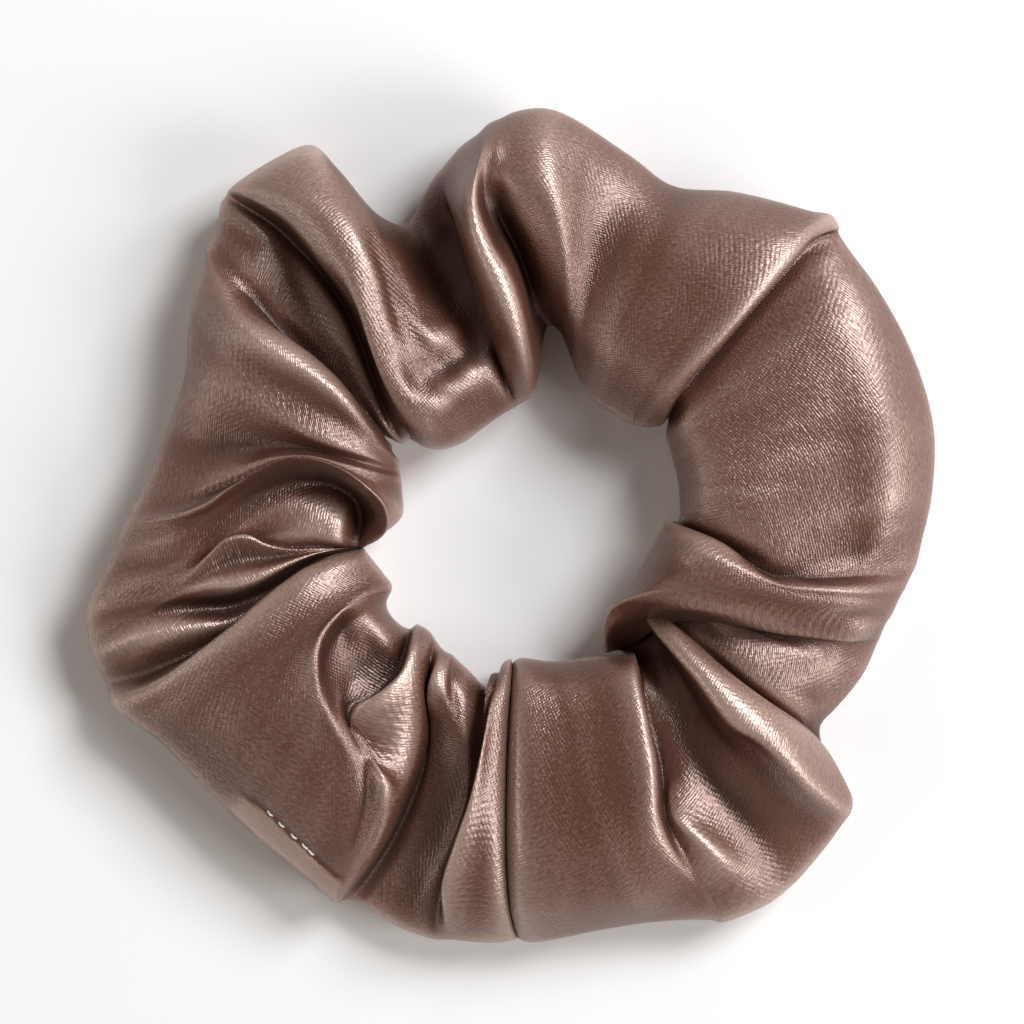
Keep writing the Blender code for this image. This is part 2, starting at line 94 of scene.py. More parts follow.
RIBS = (
    Rib("seam_right", ((261.6, 19.3, 8), (262.2, 21.4, 11.8), (263.1, 28, 14.2), (264.2, 36, 14.8),
        (265.3, 44, 14), (266.5, 51, 10.5), (267.8, 55.1, 4.6))),
    Rib("panel_near", ((264.3, 18.7, 9), (264.8, 21.2, 13.8), (265.4, 28, 16.4), (266.3, 36, 16.9),
        (267.3, 44, 16.2), (268.6, 51, 12.5), (269.6, 55.4, 6))),
    Rib("panel_middle", ((277, 19.2, 9), (277.3, 22, 14.5), (277.6, 29, 17.2), (278, 37, 17.6),
        (278.6, 45, 16.5), (279.5, 51, 12.5), (280.3, 54.4, 6.5))),
    Rib("panel_far", ((292, 19.9, 9.5), (290.5, 22.8, 15), (288.5, 29.5, 17.8), (286.5, 37, 18),
        (285.5, 44.5, 17), (286.2, 51.3, 13), (287, 55, 7))),
    Rib("panel_crest", ((303.6, 21.8, 10.4), (302.2, 23.6, 15.2), (299.4, 27.2, 17.8), (296.9, 31.2, 18.6),
        (295.2, 34.8, 18.8), (293.4, 38, 18.4), (291.9, 41.2, 17.8), (291.6, 44.4, 16.8), (292.2, 48, 15),
        (293, 52, 12), (293.6, 57.1, 7.6))),
    Rib("panel_edge", ((305.7, 22, 9.8), (304, 23.8, 13.4), (300.8, 27.2, 15.8), (298.3, 31.2, 16.6),
        (296.4, 34.8, 16.6), (294.4, 38, 16.4), (292.8, 41.2, 16), (292.6, 44, 15.2), (293, 47.6, 14.3),
        (293.8, 51.6, 12.3), (294.4, 57.8, 7.2))),
    Rib("fan_foot", ((301.8, 20.3, 2.8), (304, 22.2, 5.8), (305, 23.6, 8.2), (303, 25.4, 10.4),
        (300.2, 28.4, 10.8), (298, 32, 10.4), (297, 35.6, 9.8), (295.2, 39, 10.4), (293.4, 42, 12.2),
        (293.5, 45, 13.2), (294.4, 49.6, 13.5), (295, 54, 10.8), (295.2, 58.1, 7.2))),
    Rib("fan_ridge", ((303.6, 20.4, 2.6), (305.6, 22.6, 5.6), (306.4, 24.4, 8), (303.8, 26.8, 10.4),
        (301.2, 29.8, 10.6), (299.2, 33.4, 10), (297.8, 37, 10.4), (295.4, 40.4, 12.4), (295, 43.4, 14.4),
        (296.8, 46.6, 14.8), (298.2, 49.6, 14), (298.6, 53.4, 11.4), (298.4, 58.4, 7.4))),
    Rib("fan_slope", ((305.8, 20.6, 2.6), (307.4, 22.8, 5.6), (308, 24.8, 8), (305, 28.4, 10.6),
        (302.6, 32, 10.6), (300.8, 36, 10.8), (299.2, 40, 12), (299, 44, 13), (300.2, 48, 12.6),
        (301.2, 52, 11.2), (301.4, 58.6, 7))),
    Rib("fan_hollow", ((309.2, 20.6, 2.6), (310.6, 22.8, 5.6), (311, 24.8, 8), (307.8, 28.8, 10.6),
        (305.4, 33, 10.6), (304, 37.6, 11), (303.6, 42, 11.4), (304.2, 47, 11.2), (305, 52.4, 9.8),
        (305.6, 58.2, 6.2)), 0.5),
    Rib("spur_foot", ((313, 20.2, 3), (314.2, 21.4, 5.8), (314.6, 22.8, 8.2), (312.4, 27, 11),
        (310.8, 31.6, 12), (309.8, 36, 13), (310, 41, 13.8), (310.8, 46, 13.4), (311.6, 51, 11.4),
        (312.2, 56.9, 6.6))),
    Rib("spur_side", ((315.6, 19.6, 4), (316.2, 20, 6.6), (316.4, 20.8, 8.8), (314.6, 25, 12.6),
        (313, 29.8, 14.6), (312, 33.6, 15.6), (311.6, 36.8, 16), (313.2, 40.6, 16.4), (313.4, 45, 15.8),
        (313.4, 50, 13.2), (314.2, 56.4, 7.6))),
    Rib("spur_crest", ((317.5, 19.2, 9.6), (315.9, 21.4, 13), (315, 25.4, 16), (314.4, 29.8, 17.8),
        (313.6, 33.4, 18.6), (313.4, 36.6, 18.8), (315, 40.2, 18.6), (315.4, 44.8, 17.4),
        (315.2, 49.8, 14.8), (315.8, 56.1, 8.4))),
    Rib("spur_top", ((319.4, 19.6, 10), (318.4, 22.6, 14.4), (317.8, 26.4, 16.8), (317.4, 30.4, 18.2),
        (317, 34.4, 18.8), (317.4, 38.4, 18.6), (318, 42.8, 17.4), (317.6, 48, 14.8), (316.9, 55.9, 8.2))),
    Rib("spur_edge", ((321.2, 20, 9.8), (321.8, 22.6, 13), (321.4, 26.9, 14.8), (320.9, 30.4, 16),
        (320.9, 34, 16.4), (321.3, 38.4, 15.8), (321.8, 42.4, 14.4), (321.8, 45.2, 12.6), (320.9, 49, 10.6),
        (318.4, 54.9, 7))),
    Rib("wing_under", ((320.6, 21.4, 8), (321, 24.4, 10), (320.7, 28, 10.6), (320.3, 32, 11),
        (320.3, 36, 11), (320.8, 40, 10.2), (321, 43.2, 8.6), (320.8, 46, 6.6), (320.4, 49, 4.6)), 0.6),
    Rib("wing_ridge", ((322.6, 21.6, 8.2), (323.2, 24.6, 10.4), (323.4, 28, 11.6), (323.2, 31.6, 13),
        (323, 35.4, 13.6), (323, 39.4, 13), (323.2, 42.8, 11), (323.5, 44.8, 8.4), (323.6, 46, 5.8))),
    Rib("wing_hollow", ((323, 21, 8.4), (325.4, 24.2, 10.2), (326.2, 27.4, 11.4), (326, 31, 13),
        (325.8, 35, 13.8), (325.8, 39.4, 13.2), (326.2, 43, 11), (326.8, 45.4, 8.6), (327, 46.3, 6.2))),
    Rib("wing_low", ((322, 20.6, 8.6), (327, 24, 10.6), (329, 28, 12), (329.4, 32.4, 13), (329.4, 37, 13.4),
        (329.6, 41.4, 12.4), (330, 44.6, 10), (330.2, 46.7, 6.8))),
    Rib("wing_middle", ((318, 20.8, 8.2), (325.4, 22.8, 10.4), (329.6, 26.8, 11.6), (331.6, 31.4, 12.4),
        (332.6, 36.4, 12.8), (333.4, 41.4, 12.2), (334.2, 45, 9.8), (334.6, 47.2, 7))),
    Rib("mouth_crease", ((306, 21.2, 4.2), (312, 21, 7.5), (319, 21.6, 9.6), (325, 23.6, 10.8),
        (329.4, 27.6, 11.4), (332.6, 33, 12), (335.4, 38.6, 12.4), (337.6, 43.4, 11.4),
        (339.4, 47.2, 7.3)), 0.5),
    Rib("mouth_curl", ((300.8, 20.4, 4), (303.6, 19, 7.4), (308, 18.5, 9.4), (314, 18.9, 10.8),
        (320.6, 20, 12.4), (326.6, 23, 13.6), (330.8, 27.8, 14), (333.6, 33.6, 13.8), (336.2, 39.4, 13.2),
        (338.2, 44, 11.4), (340.2, 47.3, 7.4))),
    Rib("mouth_lip", ((298, 20, 5.6), (300.1, 18.3, 8.8), (304.6, 17.1, 11.2), (311.8, 17, 12.8),
        (319.6, 18.5, 14.2), (327.6, 23, 15.6), (331.5, 27.9, 16), (333.9, 33.9, 15.2), (336.6, 39.5, 14),
        (338.4, 44.2, 12), (340.9, 47.3, 7.6))),
    Rib("mouth_low", ((297.5, 19.7, 4.6), (299.4, 18, 8.4), (303.6, 16.4, 11.4), (309.4, 15.7, 13.4),
        (316.4, 16.4, 15), (323.6, 18.6, 16.4), (330.2, 23.4, 17.6), (334.4, 28.6, 17.6),
        (336.8, 34.4, 16.4), (339, 40, 14.8), (341, 44.8, 12.4), (343, 47.5, 7.8))),
    Rib("mouth_face", ((303.4, 16.2, 6), (308.6, 15.2, 10.8), (315.6, 15.6, 14), (323, 16.8, 16.6),
        (330, 19.6, 18.2), (335.4, 24.2, 19), (338.6, 29.6, 18.4), (340.2, 35.4, 17), (341.8, 41, 15.4),
        (344, 47.7, 8.2))),
    Rib("mouth_high", ((320, 15.4, 9.8), (324.6, 16.2, 14.4), (331, 18.2, 17.6), (336.6, 21.4, 19.2),
        (340.2, 25.8, 19.8), (341.6, 31, 19), (342.4, 36.6, 17.6), (344, 42.6, 15.2), (345.6, 48, 8.3))),
    Rib("mouth_back", ((333, 15.3, 10), (336.4, 17, 15), (340, 19.8, 18.4), (342.8, 23.4, 20),
        (343.4, 27.6, 20), (343.3, 32, 19), (344, 36.8, 17.8), (345.6, 42.8, 15.3), (347, 48.2, 8.4))),
    Rib("mouth_crest", ((346, 15.8, 10.6), (346.8, 17.8, 15.6), (347.4, 20.6, 18.8), (346.8, 24.4, 20),
        (345.4, 28.2, 19.8), (344.2, 32.4, 19), (345.2, 37, 18), (346.8, 42.8, 15.6), (348.6, 48.6, 8.5))),
    Rib("mouth_top", ((354, 16.6, 11.2), (352.6, 18.6, 15.6), (351, 21.2, 18), (348.9, 24.6, 19),
        (346.6, 28, 18.8), (344.8, 31.8, 18.2), (346, 36.6, 17.4), (347.8, 42.6, 15.2),
        (349.6, 48.8, 8.4))),
    Rib("mouth_edge", ((357.2, 17.2, 11.2), (354.8, 19.8, 14.8), (352.6, 22.8, 16.8), (350.6, 25, 17.4),
        (348.7, 26.8, 17.4), (346.7, 28.6, 17), (345.4, 30.4, 16.2), (346.2, 34, 15.4), (347.8, 38.6, 14.4),
        (349.6, 43.6, 12.7), (351, 49.2, 7.8))),
    Rib("broad_valley", ((356, 18.4, 9.4), (353.4, 21.2, 11.4), (351.2, 23.8, 12), (348.8, 26.6, 12.2),
        (346.6, 29.2, 12.8), (345.6, 31.6, 13.8), (347.4, 35.4, 14.4), (349.6, 39.4, 13.9),
        (351.2, 43.8, 12.4), (352.6, 49.6, 7.6)), 0.8),
    Rib("broad_low", ((358.4, 18.8, 9.4), (356.6, 21.2, 13), (354.8, 24.4, 14.6), (352.2, 28.4, 15),
        (350.2, 32, 14.8), (351.2, 36.4, 14), (353.4, 40.8, 13.2), (355, 45, 12.8), (356.2, 50.1, 7.4))),
    Rib("broad_a", ((366, 18.9, 8.8), (365.4, 20.5, 13.4), (364.6, 22.4, 15.2), (362.6, 28, 16.2),
        (361.2, 34, 15.8), (361.4, 40, 15), (362.2, 46, 14.2), (362.8, 51.3, 7.8))),
    Rib("broad_b", ((374.5, 19.1, 8.8), (374.2, 20.6, 13), (374, 22.4, 14.8), (373.5, 28, 15.8),
        (373.2, 34, 16), (373, 40, 15.6), (372.8, 47, 14.9), (372.6, 52.7, 8))),
    Rib("broad_c", ((384, 19.4, 8.6), (383.9, 21.2, 12.6), (383.8, 23, 14), (383.6, 29, 15),
        (383.6, 35, 15.6), (383.6, 41, 15.8), (383.5, 48, 14.8), (383.4, 53, 8))),
    Rib("broad_d", ((391.5, 20, 8.8), (392, 22.4, 13.2), (393, 28, 14.4), (394, 34, 14.8), (394.6, 40, 15),
        (394.8, 46, 14.8), (394.4, 50, 13.2), (393.6, 53, 8.6))),
    Rib("broad_end", ((394.6, 21, 8.8), (396.4, 23.6, 12.4), (398.6, 28, 13), (400.2, 33, 13.2),
        (401.4, 38.6, 13.4), (402, 44, 13.4), (401.8, 49, 12.6), (400.6, 53, 9))),
    Rib("lap_under", ((396.6, 21.6, 8.6), (399.6, 24, 11.6), (401.4, 28, 12), (402.4, 33, 12.2),
        (403.4, 38.6, 12.4), (404.2, 44, 12.4), (404.6, 48, 12), (404.4, 51, 11), (403, 53.4, 9)), 0.4),
    Rib("lap_edge", ((395.6, 20.3, 9.8), (398.8, 22.6, 13.6), (400.8, 26, 15.4), (402, 31, 16.4),
        (403.1, 36.6, 17), (403.8, 41.6, 16.8), (404.4, 46, 16), (404.8, 50, 14), (403.6, 53.9, 10))),
    Rib("lap_crest", ((395.8, 20, 10.2), (400, 22.4, 15), (402, 26.4, 17), (403, 31.4, 18.2),
        (404, 36.8, 18.8), (404.7, 41.8, 18.4), (405.2, 46, 17.4), (405.6, 50, 15.2), (405.4, 54.2, 10.6))),
    Rib("lap_top", ((398.6, 18.4, 10.2), (402.6, 22, 16), (404.4, 27, 18.2), (405.4, 32.4, 19),
        (406.2, 38, 19.2), (406.9, 43.4, 18.4), (407.4, 48, 16.4), (407.4, 52.9, 10.8))),
    Rib("lobe_a", ((403, 17.4, 10), (407, 22, 16.4), (408.8, 28, 18.4), (409.8, 34, 19), (410.8, 40, 18.8),
        (411.3, 46, 16.8), (411.2, 51.3, 10.5))),
    Rib("lobe_b", ((412, 16.7, 10), (415.6, 22, 16.2), (417.2, 28, 18.2), (418.2, 34, 18.6),
        (418.9, 40, 18), (418.9, 45, 15), (418.5, 48.8, 10))),
    Rib("lobe_c", ((424, 17, 9.5), (426, 22, 15.6), (427, 28, 17.2), (427.8, 34, 17.2), (428, 39.5, 16.2),
        (427.8, 43.5, 13), (427.3, 46, 9))),
    Rib("lobe_trough", ((433, 19, 9), (434.5, 23, 14), (436, 28.5, 15.8), (437.2, 34, 16.2),
        (437.5, 40, 16), (436.5, 45, 14), (435.5, 47.9, 10))),
    Rib("lobe_crest", ((439.5, 22.4, 9.5), (441.5, 26, 14.5), (443.5, 30.5, 17.2), (445.5, 36, 19.2),
        (447.5, 42, 20), (448.5, 47.5, 17.8), (447.5, 52, 12))),
    Rib("lobe_edge", ((442.8, 24.2, 8.6), (446, 27, 12), (448.6, 31, 14.6), (450.6, 35, 16.8),
        (452.6, 39, 18.4), (454, 43, 19.4), (454, 47, 18), (452.5, 51.8, 12.4))),
    Rib("hook_crease", ((446, 24.8, 8), (449.4, 26.8, 10.4), (451.8, 30.6, 10.8), (454, 34.4, 11.6),
        (456.2, 37.6, 13.2), (457.2, 40.4, 16.4), (456.6, 44, 18.8), (455.6, 47.4, 17.8),
        (455, 51, 12.6)), 0.6),
    Rib("hook_inner", ((448.2, 19.6, 9), (450.4, 23, 12.4), (452.4, 27.6, 15), (454.8, 32.2, 16),
        (457.8, 36.4, 16.4), (459, 40.4, 17.4), (458.2, 44.4, 18.6), (457.2, 47.8, 17.4),
        (456.6, 50.6, 12.6))),
    Rib("hook_right", ((449.6, 16.6, 9.8), (451.6, 20.4, 16.4), (454, 25.4, 20), (456.6, 30.4, 20.9),
        (459.6, 35.2, 20.8), (460.6, 40, 20.4), (459.4, 44.6, 19.4), (458, 48, 17), (457.4, 50.2, 12.6))),
    Rib("hook_crest", ((451.6, 15.5, 10.4), (453.9, 18.9, 16.6), (456, 23.2, 20.2), (458.2, 27.8, 21.4),
        (460.6, 32.2, 21.6), (461.9, 36.4, 21.4), (461.5, 40.6, 20.8), (459.9, 44.2, 19.6),
        (458.6, 47.2, 16.4), (458.2, 49.6, 12.4))),
    Rib("hook_left", ((455.4, 14.9, 10), (458, 18.8, 15.8), (460, 23.6, 19), (461.8, 28.4, 20.2),
        (463.6, 33, 19.9), (464.4, 37, 19), (463.8, 41, 17.8), (462.4, 44.6, 14.6), (461.6, 48.2, 10.4))),
    Rib("hook_edge", ((459, 14.6, 9.2), (462.4, 19.2, 13.2), (463.8, 24.6, 15.2), (464.8, 30, 15.8),
        (465.2, 35, 15.2), (465.4, 39, 13.8), (465.4, 42.6, 11), (464.6, 46.4, 8.8))),
    Rib("hook_foot", ((460.5, 14.4, 9), (462.6, 19.4, 12.2), (463.6, 25, 11.8), (464.4, 30, 10.4),
        (464.8, 35, 8.8), (465.2, 39, 8), (466, 42, 9), (467, 45.2, 7)), 0.7),
    Rib("notch", ((464, 14.1, 9), (466, 17, 12.6), (467.4, 20.2, 14.4), (468.2, 23.4, 12.2),
        (468.8, 27, 11.4), (469.4, 31, 9.6), (470.2, 35.6, 8.2), (470.8, 39, 7.4),
        (471.2, 42.4, 4.8)), 1.0),
    Rib("peak_foot", ((472, 13.6, 9), (473, 16.5, 13), (474.4, 19.8, 15.6), (474.6, 22.6, 13.4),
        (475, 25.6, 14.6), (475.4, 29, 13.2), (475, 34, 11.4), (474.4, 38, 9.8), (474.2, 41, 7)), 0.6),
    Rib("peak_face", ((484, 13.2, 9.5), (484.4, 16.4, 13.6), (484, 19.4, 16.2), (482.6, 22.6, 14.2),
        (480.6, 26.4, 16.2), (479.6, 30, 15), (478.6, 34, 14.8), (478, 39, 14.2), (477.6, 43.6, 9.4))),
    Rib("peak_slope", ((494, 13.3, 10), (493.6, 16.4, 14.2), (492.4, 19.2, 16.6), (490, 22.8, 15.6),
        (487, 26.6, 16.7), (484.6, 30.6, 16.6), (482.2, 35.4, 16.9), (480.4, 41, 16.9), (479.6, 46.6, 14.4),
        (479.6, 51, 10.4))),
    Rib("peak_crest", ((505, 14.9, 10), (503, 17.4, 14.6), (499.6, 20.4, 16.6), (495.4, 24.4, 17.5),
        (490.4, 29, 18.3), (486.2, 34, 18.9), (483.6, 39, 19.3), (483, 44, 18.9), (483.2, 49, 17.1),
        (481.2, 55.4, 11.5))),
    Rib("peak_left", ((508.4, 17.4, 10), (504.4, 20.6, 15.4), (499.4, 25.2, 17.4), (494.4, 30, 18.6),
        (490.2, 34.8, 19.4), (487.6, 40, 19.6), (486.6, 45.6, 19), (486.6, 51, 17.2), (486.5, 56.6, 11.8))),
    Rib("peak_edge", ((507.6, 19, 9.8), (503.8, 22, 14), (499.7, 24.8, 15.6), (495.7, 28.1, 16.4),
        (492.9, 31.3, 17), (491, 34.8, 17.5), (490.2, 38.6, 17.7), (490, 42.5, 17.7), (489.8, 45.9, 17.2),
        (490, 49.5, 16), (491.2, 53.5, 13.8), (492.7, 57.4, 10.4))),
    Rib("slot", ((511.4, 19.6, 8.6), (507, 22.3, 11), (501, 26.6, 11), (495.4, 31.6, 9.8), (492.2, 37, 8.8),
        (491.4, 43, 8.9), (492, 50, 10.2), (494, 57.2, 8.2)), 0.8),
    Rib("slot_pleat", ((511.8, 21.2, 9.4), (508.6, 23, 11.8), (503, 26.5, 12), (498.5, 31, 12),
        (495, 36, 11.4), (493.8, 41, 10.8), (493.6, 45, 10.4), (494, 51, 11.2), (495.2, 57, 8.2))),
    Rib("slot_dip", ((511.9, 22.2, 8.8), (507.6, 26, 11.2), (501, 32.6, 11.2), (498.2, 38, 10.8),
        (496.6, 43, 10.4), (496.4, 49, 11.4), (496.6, 56, 8.2))),
    Rib("slot_middle", ((512.6, 22, 9), (508.6, 26, 11), (503.4, 32, 10.8), (500.8, 38, 10.4),
        (500, 44, 10.8), (499, 49, 11.6), (497.8, 55.2, 8.2))),
    Rib("slot_valley", ((513.8, 21.8, 8.6), (510.6, 25, 11), (507, 29.4, 11), (505.2, 34, 10),
        (504.6, 39, 9.2), (503, 44, 10.2), (501.6, 49, 11.5), (501.2, 54.4, 8.2)), 0.6),
    Rib("ramp_edge", ((513.6, 20.9, 9.4), (510.2, 24.2, 13), (506.8, 28, 15), (505.2, 31, 15.4),
        (504.4, 35.6, 15.4), (504.6, 40.3, 15), (504.8, 45, 13.8), (503.9, 50, 12.3), (502, 53.9, 8.4))),
    Rib("ramp_crest", ((515.7, 20.3, 10), (512.5, 23.5, 14.6), (509.5, 27.5, 16.8), (508, 31, 17.4),
        (507.6, 35, 17.4), (507.8, 39.5, 17), (507.4, 44, 15.8), (507.2, 48, 13.6), (505, 53, 9))),
    Rib("ramp_valley", ((518.4, 19, 10), (516, 23.2, 14.6), (514.2, 28.6, 15.9), (513.4, 34.6, 15.7),
        (513, 41, 15), (512.3, 46, 13.2), (511.5, 50.8, 8.4))),
    Rib("step_crest", ((520.6, 18.8, 10), (520.4, 22.4, 15), (520.8, 26.5, 16.4), (520.5, 30.8, 16.2),
        (519.4, 34, 15.6), (518.4, 38, 15), (517.6, 42, 14), (517.2, 46, 12.2), (518, 48.6, 8.8))),
    Rib("step_valley", ((523, 18.4, 9.8), (523, 21.4, 13.8), (523.2, 26, 14.8), (523.6, 30.4, 14.3),
        (525, 34.6, 13.4), (527, 40, 12.4), (528, 45, 11), (528.4, 48.9, 7.8)), 0.6),
    Rib("roll_back", ((525.4, 18, 10.4), (525, 21, 15), (525, 25.6, 17.2), (525.4, 30, 17.4),
        (528, 34.4, 16.4), (532, 38.6, 15), (535, 43, 13.4), (536, 50.6, 8.6))),
    Rib("roll_side_a", ((531.5, 17.4, 9.6), (528.6, 20, 14.8), (526.4, 24, 17), (525.6, 28, 17.4),
        (526.4, 31, 17.2), (529, 34, 16.3), (532.6, 37.2, 15.2), (535.6, 41, 13.9), (538, 46, 12.4),
        (538.4, 51.6, 8.7))),
    Rib("roll_side_b", ((540.5, 17.2, 9.4), (537, 18, 14), (531.6, 20.4, 16.6), (527.6, 23.8, 17.8),
        (525.8, 27.8, 18.5), (526.2, 30.8, 18.5), (528.6, 33.6, 17.9), (532, 36.4, 16.9), (535, 39.6, 15.6),
        (538.4, 44, 13.8), (539.6, 52.2, 8.8))),
    Rib("roll_crest", ((550.3, 22.2, 9.5), (549, 20.4, 13), (545, 19, 15.5), (540, 18.9, 16.6),
        (535.4, 19.6, 17.4), (530.5, 21.8, 18.4), (527, 24.8, 19.1), (525.8, 28, 19.5), (526.2, 30.7, 19.5),
        (528.3, 33.4, 19.1), (531.5, 36, 18.3), (534.5, 38.8, 17.3), (538, 42, 15.9), (540, 46, 14),
        (540.5, 52.6, 8.8))),
    Rib("roll_inner", ((551, 22.6, 9), (549, 21.8, 11.5), (545, 20.6, 13), (540, 20.5, 14),
        (535.4, 21.4, 15), (531.4, 23.4, 16), (528.6, 26, 17), (527.8, 28.6, 17.4), (528.6, 31.2, 17.2),
        (531, 34, 16.4), (534.2, 36.8, 15.6), (537.4, 39.6, 14.8), (540.4, 43, 13.8), (541.5, 47, 13),
        (542, 53.3, 8.6))),
    Rib("cavity", ((551, 23.2, 8.8), (548.6, 23, 10), (544, 22.6, 10.4), (539, 22.6, 10.6),
        (534.6, 23.6, 11), (532, 25.6, 11.6), (531.4, 28, 12), (532.4, 31, 12.6), (534.6, 34, 13),
        (537.6, 37, 13.2), (540.6, 40, 13.2), (543, 43.4, 13.2), (544, 47.4, 13), (544.3, 54, 8.5)), 0.5),
    Rib("pocket_edge", ((551, 23.8, 8.8), (548.8, 24.2, 11), (545.6, 24.6, 13.2), (541.6, 25, 13.8),
        (538.4, 26.4, 13.6), (537.4, 29, 13.6), (538.2, 32, 13.6), (540.2, 35, 13.4), (542.6, 38, 13.2),
        (545, 41.6, 13), (546.5, 46, 13), (546.6, 55.4, 8.3))),
    Rib("pocket_floor", ((551, 24.2, 8.8), (549.6, 24.9, 11.4), (547.4, 25.6, 13.8), (545.2, 27.6, 14.2),
        (544.4, 30.4, 14.2), (544.2, 33.4, 13.6), (544.6, 36.6, 12.8), (546, 39.6, 12.6), (547.6, 43, 12.8),
        (548.6, 47.6, 13), (548.6, 56.9, 8.1))),
    Rib("pocket_crease", ((550.9, 24.4, 8.8), (549.4, 25.6, 11.2), (548.2, 28, 12.4), (547.6, 31, 12.8),
        (546.8, 34, 12.9), (545.6, 36.4, 13), (546, 39.4, 13.2), (548, 43.6, 13.2), (549.8, 48, 12.8),
        (550.2, 58, 7.9)), 0.4),
    Rib("lid_upper", ((550.6, 23.9, 9), (549.4, 26, 12), (548.6, 28.6, 13.2), (547.9, 31.6, 13.8),
        (546.2, 34.6, 14.4), (543.9, 37, 14.8), (544.3, 39.6, 15), (546.7, 42, 14.6), (550, 45.4, 13.6),
        (551.8, 50, 12), (551.6, 58.8, 7.8))),
    Rib("lid_hollow", ((550.5, 23.4, 9.2), (550, 26.2, 12.4), (549.6, 29.4, 13.2), (549.4, 32.6, 13.3),
        (549, 35.8, 13.4), (548.6, 38.4, 13.5), (549, 40.6, 13.6), (550, 43, 13.7), (551.6, 46.4, 13.1),
        (552.6, 51, 11.4), (552.4, 59.2, 7.6))),
    Rib("cheek_crest", ((550.4, 23, 9.4), (549.8, 25.4, 12.6), (549.9, 28.4, 14), (550.8, 31.6, 14.8),
        (552, 34.6, 15.2), (552.9, 37.4, 15.2), (553, 39.8, 15), (552.4, 42.4, 14.6), (552.6, 46, 13.2),
        (553.4, 51, 11), (553.3, 59.4, 7.4))),
    Rib("cheek_valley", ((550.8, 23.2, 9), (551, 26.4, 11.2), (552, 30, 11.2), (554, 33, 10.8),
        (556, 37, 10), (556.4, 40.6, 9.6), (555.4, 44.4, 10.2), (554.4, 48.6, 10.8), (554.6, 53, 10.4),
        (555.2, 59.8, 6.8)), 0.8),
    Rib("cheek_low", ((551.4, 23.2, 9), (552.4, 26.8, 11.2), (554.6, 31, 10.8), (557.6, 36, 10.2),
        (559.4, 41.6, 10.8), (558.6, 45, 11.6), (557.8, 49.6, 12), (557.2, 54, 11.2), (557.6, 60, 7))),
    Rib("cheek_foot", ((552.4, 23.4, 9), (554, 27.4, 11), (556.6, 32, 10.6), (559.4, 37, 9.8),
        (561.4, 42, 9.6), (562, 47, 9.6), (562.2, 52.5, 9.4), (561.8, 57.5, 8.4), (561.4, 59.6, 6.6)), 0.7),
    Rib("apron_edge", ((551, 22.8, 9.6), (551.4, 25.6, 12.8), (552.8, 30, 15), (555.3, 33.7, 15.8),
        (557.8, 37.4, 16), (560, 41, 15.8), (562, 45.8, 15.2), (563.4, 50.4, 14), (564, 54, 12.4),
        (564.5, 59.6, 8.6))),
    Rib("apron_fold", ((553.4, 22.3, 10.2), (553.8, 25.4, 14.2), (555.2, 29.8, 16.4), (557.7, 33.5, 17),
        (560.2, 37.4, 17.2), (562.4, 41.2, 16.8), (564.2, 46, 15.8), (565.6, 50.6, 14.2), (566.2, 54, 12.4),
        (566.8, 58.6, 8.8))),
    Rib("apron_a", ((561, 21.2, 10.3), (561.4, 25.4, 15), (563, 30, 17), (565.6, 35, 17.4),
        (567.8, 40.5, 17), (569.4, 47, 15.6), (570.2, 52.6, 12.8), (570.6, 56.6, 9))),
    Rib("apron_tip", ((566.5, 20.8, 10.2), (565, 23.6, 14.8), (565.2, 27, 17), (567.4, 31.4, 17.8),
        (570.6, 36.6, 17.7), (573.6, 42, 17.1), (575.6, 47.6, 15.5), (576.6, 51.8, 12.6),
        (577, 55.4, 8.9))),
    Rib("cup_ridge", ((570.2, 22.3, 9.6), (568, 24.4, 14.8), (566.4, 27, 17.6), (568.3, 30.2, 18.6),
        (570.4, 32, 19), (573.2, 33.6, 19.2), (576.6, 35.4, 19), (580.6, 38.4, 18.4), (583.6, 43, 17),
        (585.6, 48.6, 14.8), (586.6, 54.9, 8.8))),
    Rib("cup_rim", ((572.4, 22.7, 9.4), (571, 24.8, 14.2), (570.4, 26.8, 15.2), (571, 29, 15),
        (572.6, 31, 15.8), (575.2, 32.8, 16.6), (578.4, 34.4, 17.8), (582.4, 36.2, 18.8), (586.4, 38.6, 18),
        (588.8, 43.4, 16.6), (590.2, 49, 14.4), (591, 55, 8.8))),
    Rib("cup_left", ((575.4, 22.8, 9.2), (574.6, 25, 14.2), (574.6, 26.8, 14.4), (575.4, 28.8, 14.2),
        (577, 30.6, 14.4), (579.4, 32.6, 15.2), (582, 34.6, 16.6), (586, 36.7, 18.4), (590, 39.2, 17.4),
        (592.6, 43.8, 16.2), (594, 49.2, 14), (594.6, 55.1, 8.7))),
    Rib("cup_floor", ((579, 22.6, 9.2), (578.6, 25, 13.8), (579, 26.8, 13.4), (580, 28.6, 13.4),
        (581.4, 30.6, 13.6), (582.8, 32.6, 14.4), (584, 34.4, 16), (588.4, 36.8, 17.8), (593, 39.6, 17.2),
        (595.8, 44.2, 15.8), (597, 49.4, 13.6), (597.4, 55.3, 8.6))),
    Rib("cup_dark", ((581.8, 22.2, 9.2), (582.4, 24.8, 12.8), (583.6, 26.4, 12.8), (585, 28.2, 12.8),
        (585.8, 30.4, 13.2), (585.6, 32.4, 14), (585, 34.6, 15.4), (590.4, 36.9, 17.2), (595.6, 40.2, 16.8),
        (598.4, 44.6, 15.4), (599.4, 49.6, 13.3), (599.6, 55.7, 8.6))),
    Rib("cup_under_lip", ((582.8, 21.8, 9), (585.6, 23.6, 11), (588.2, 25.6, 12.2), (589.4, 27.6, 12.6),
        (589.2, 29.6, 13), (588.2, 31.6, 13.6), (586.4, 33.6, 14.4), (588, 35.6, 15.6), (594, 37.6, 16.6),
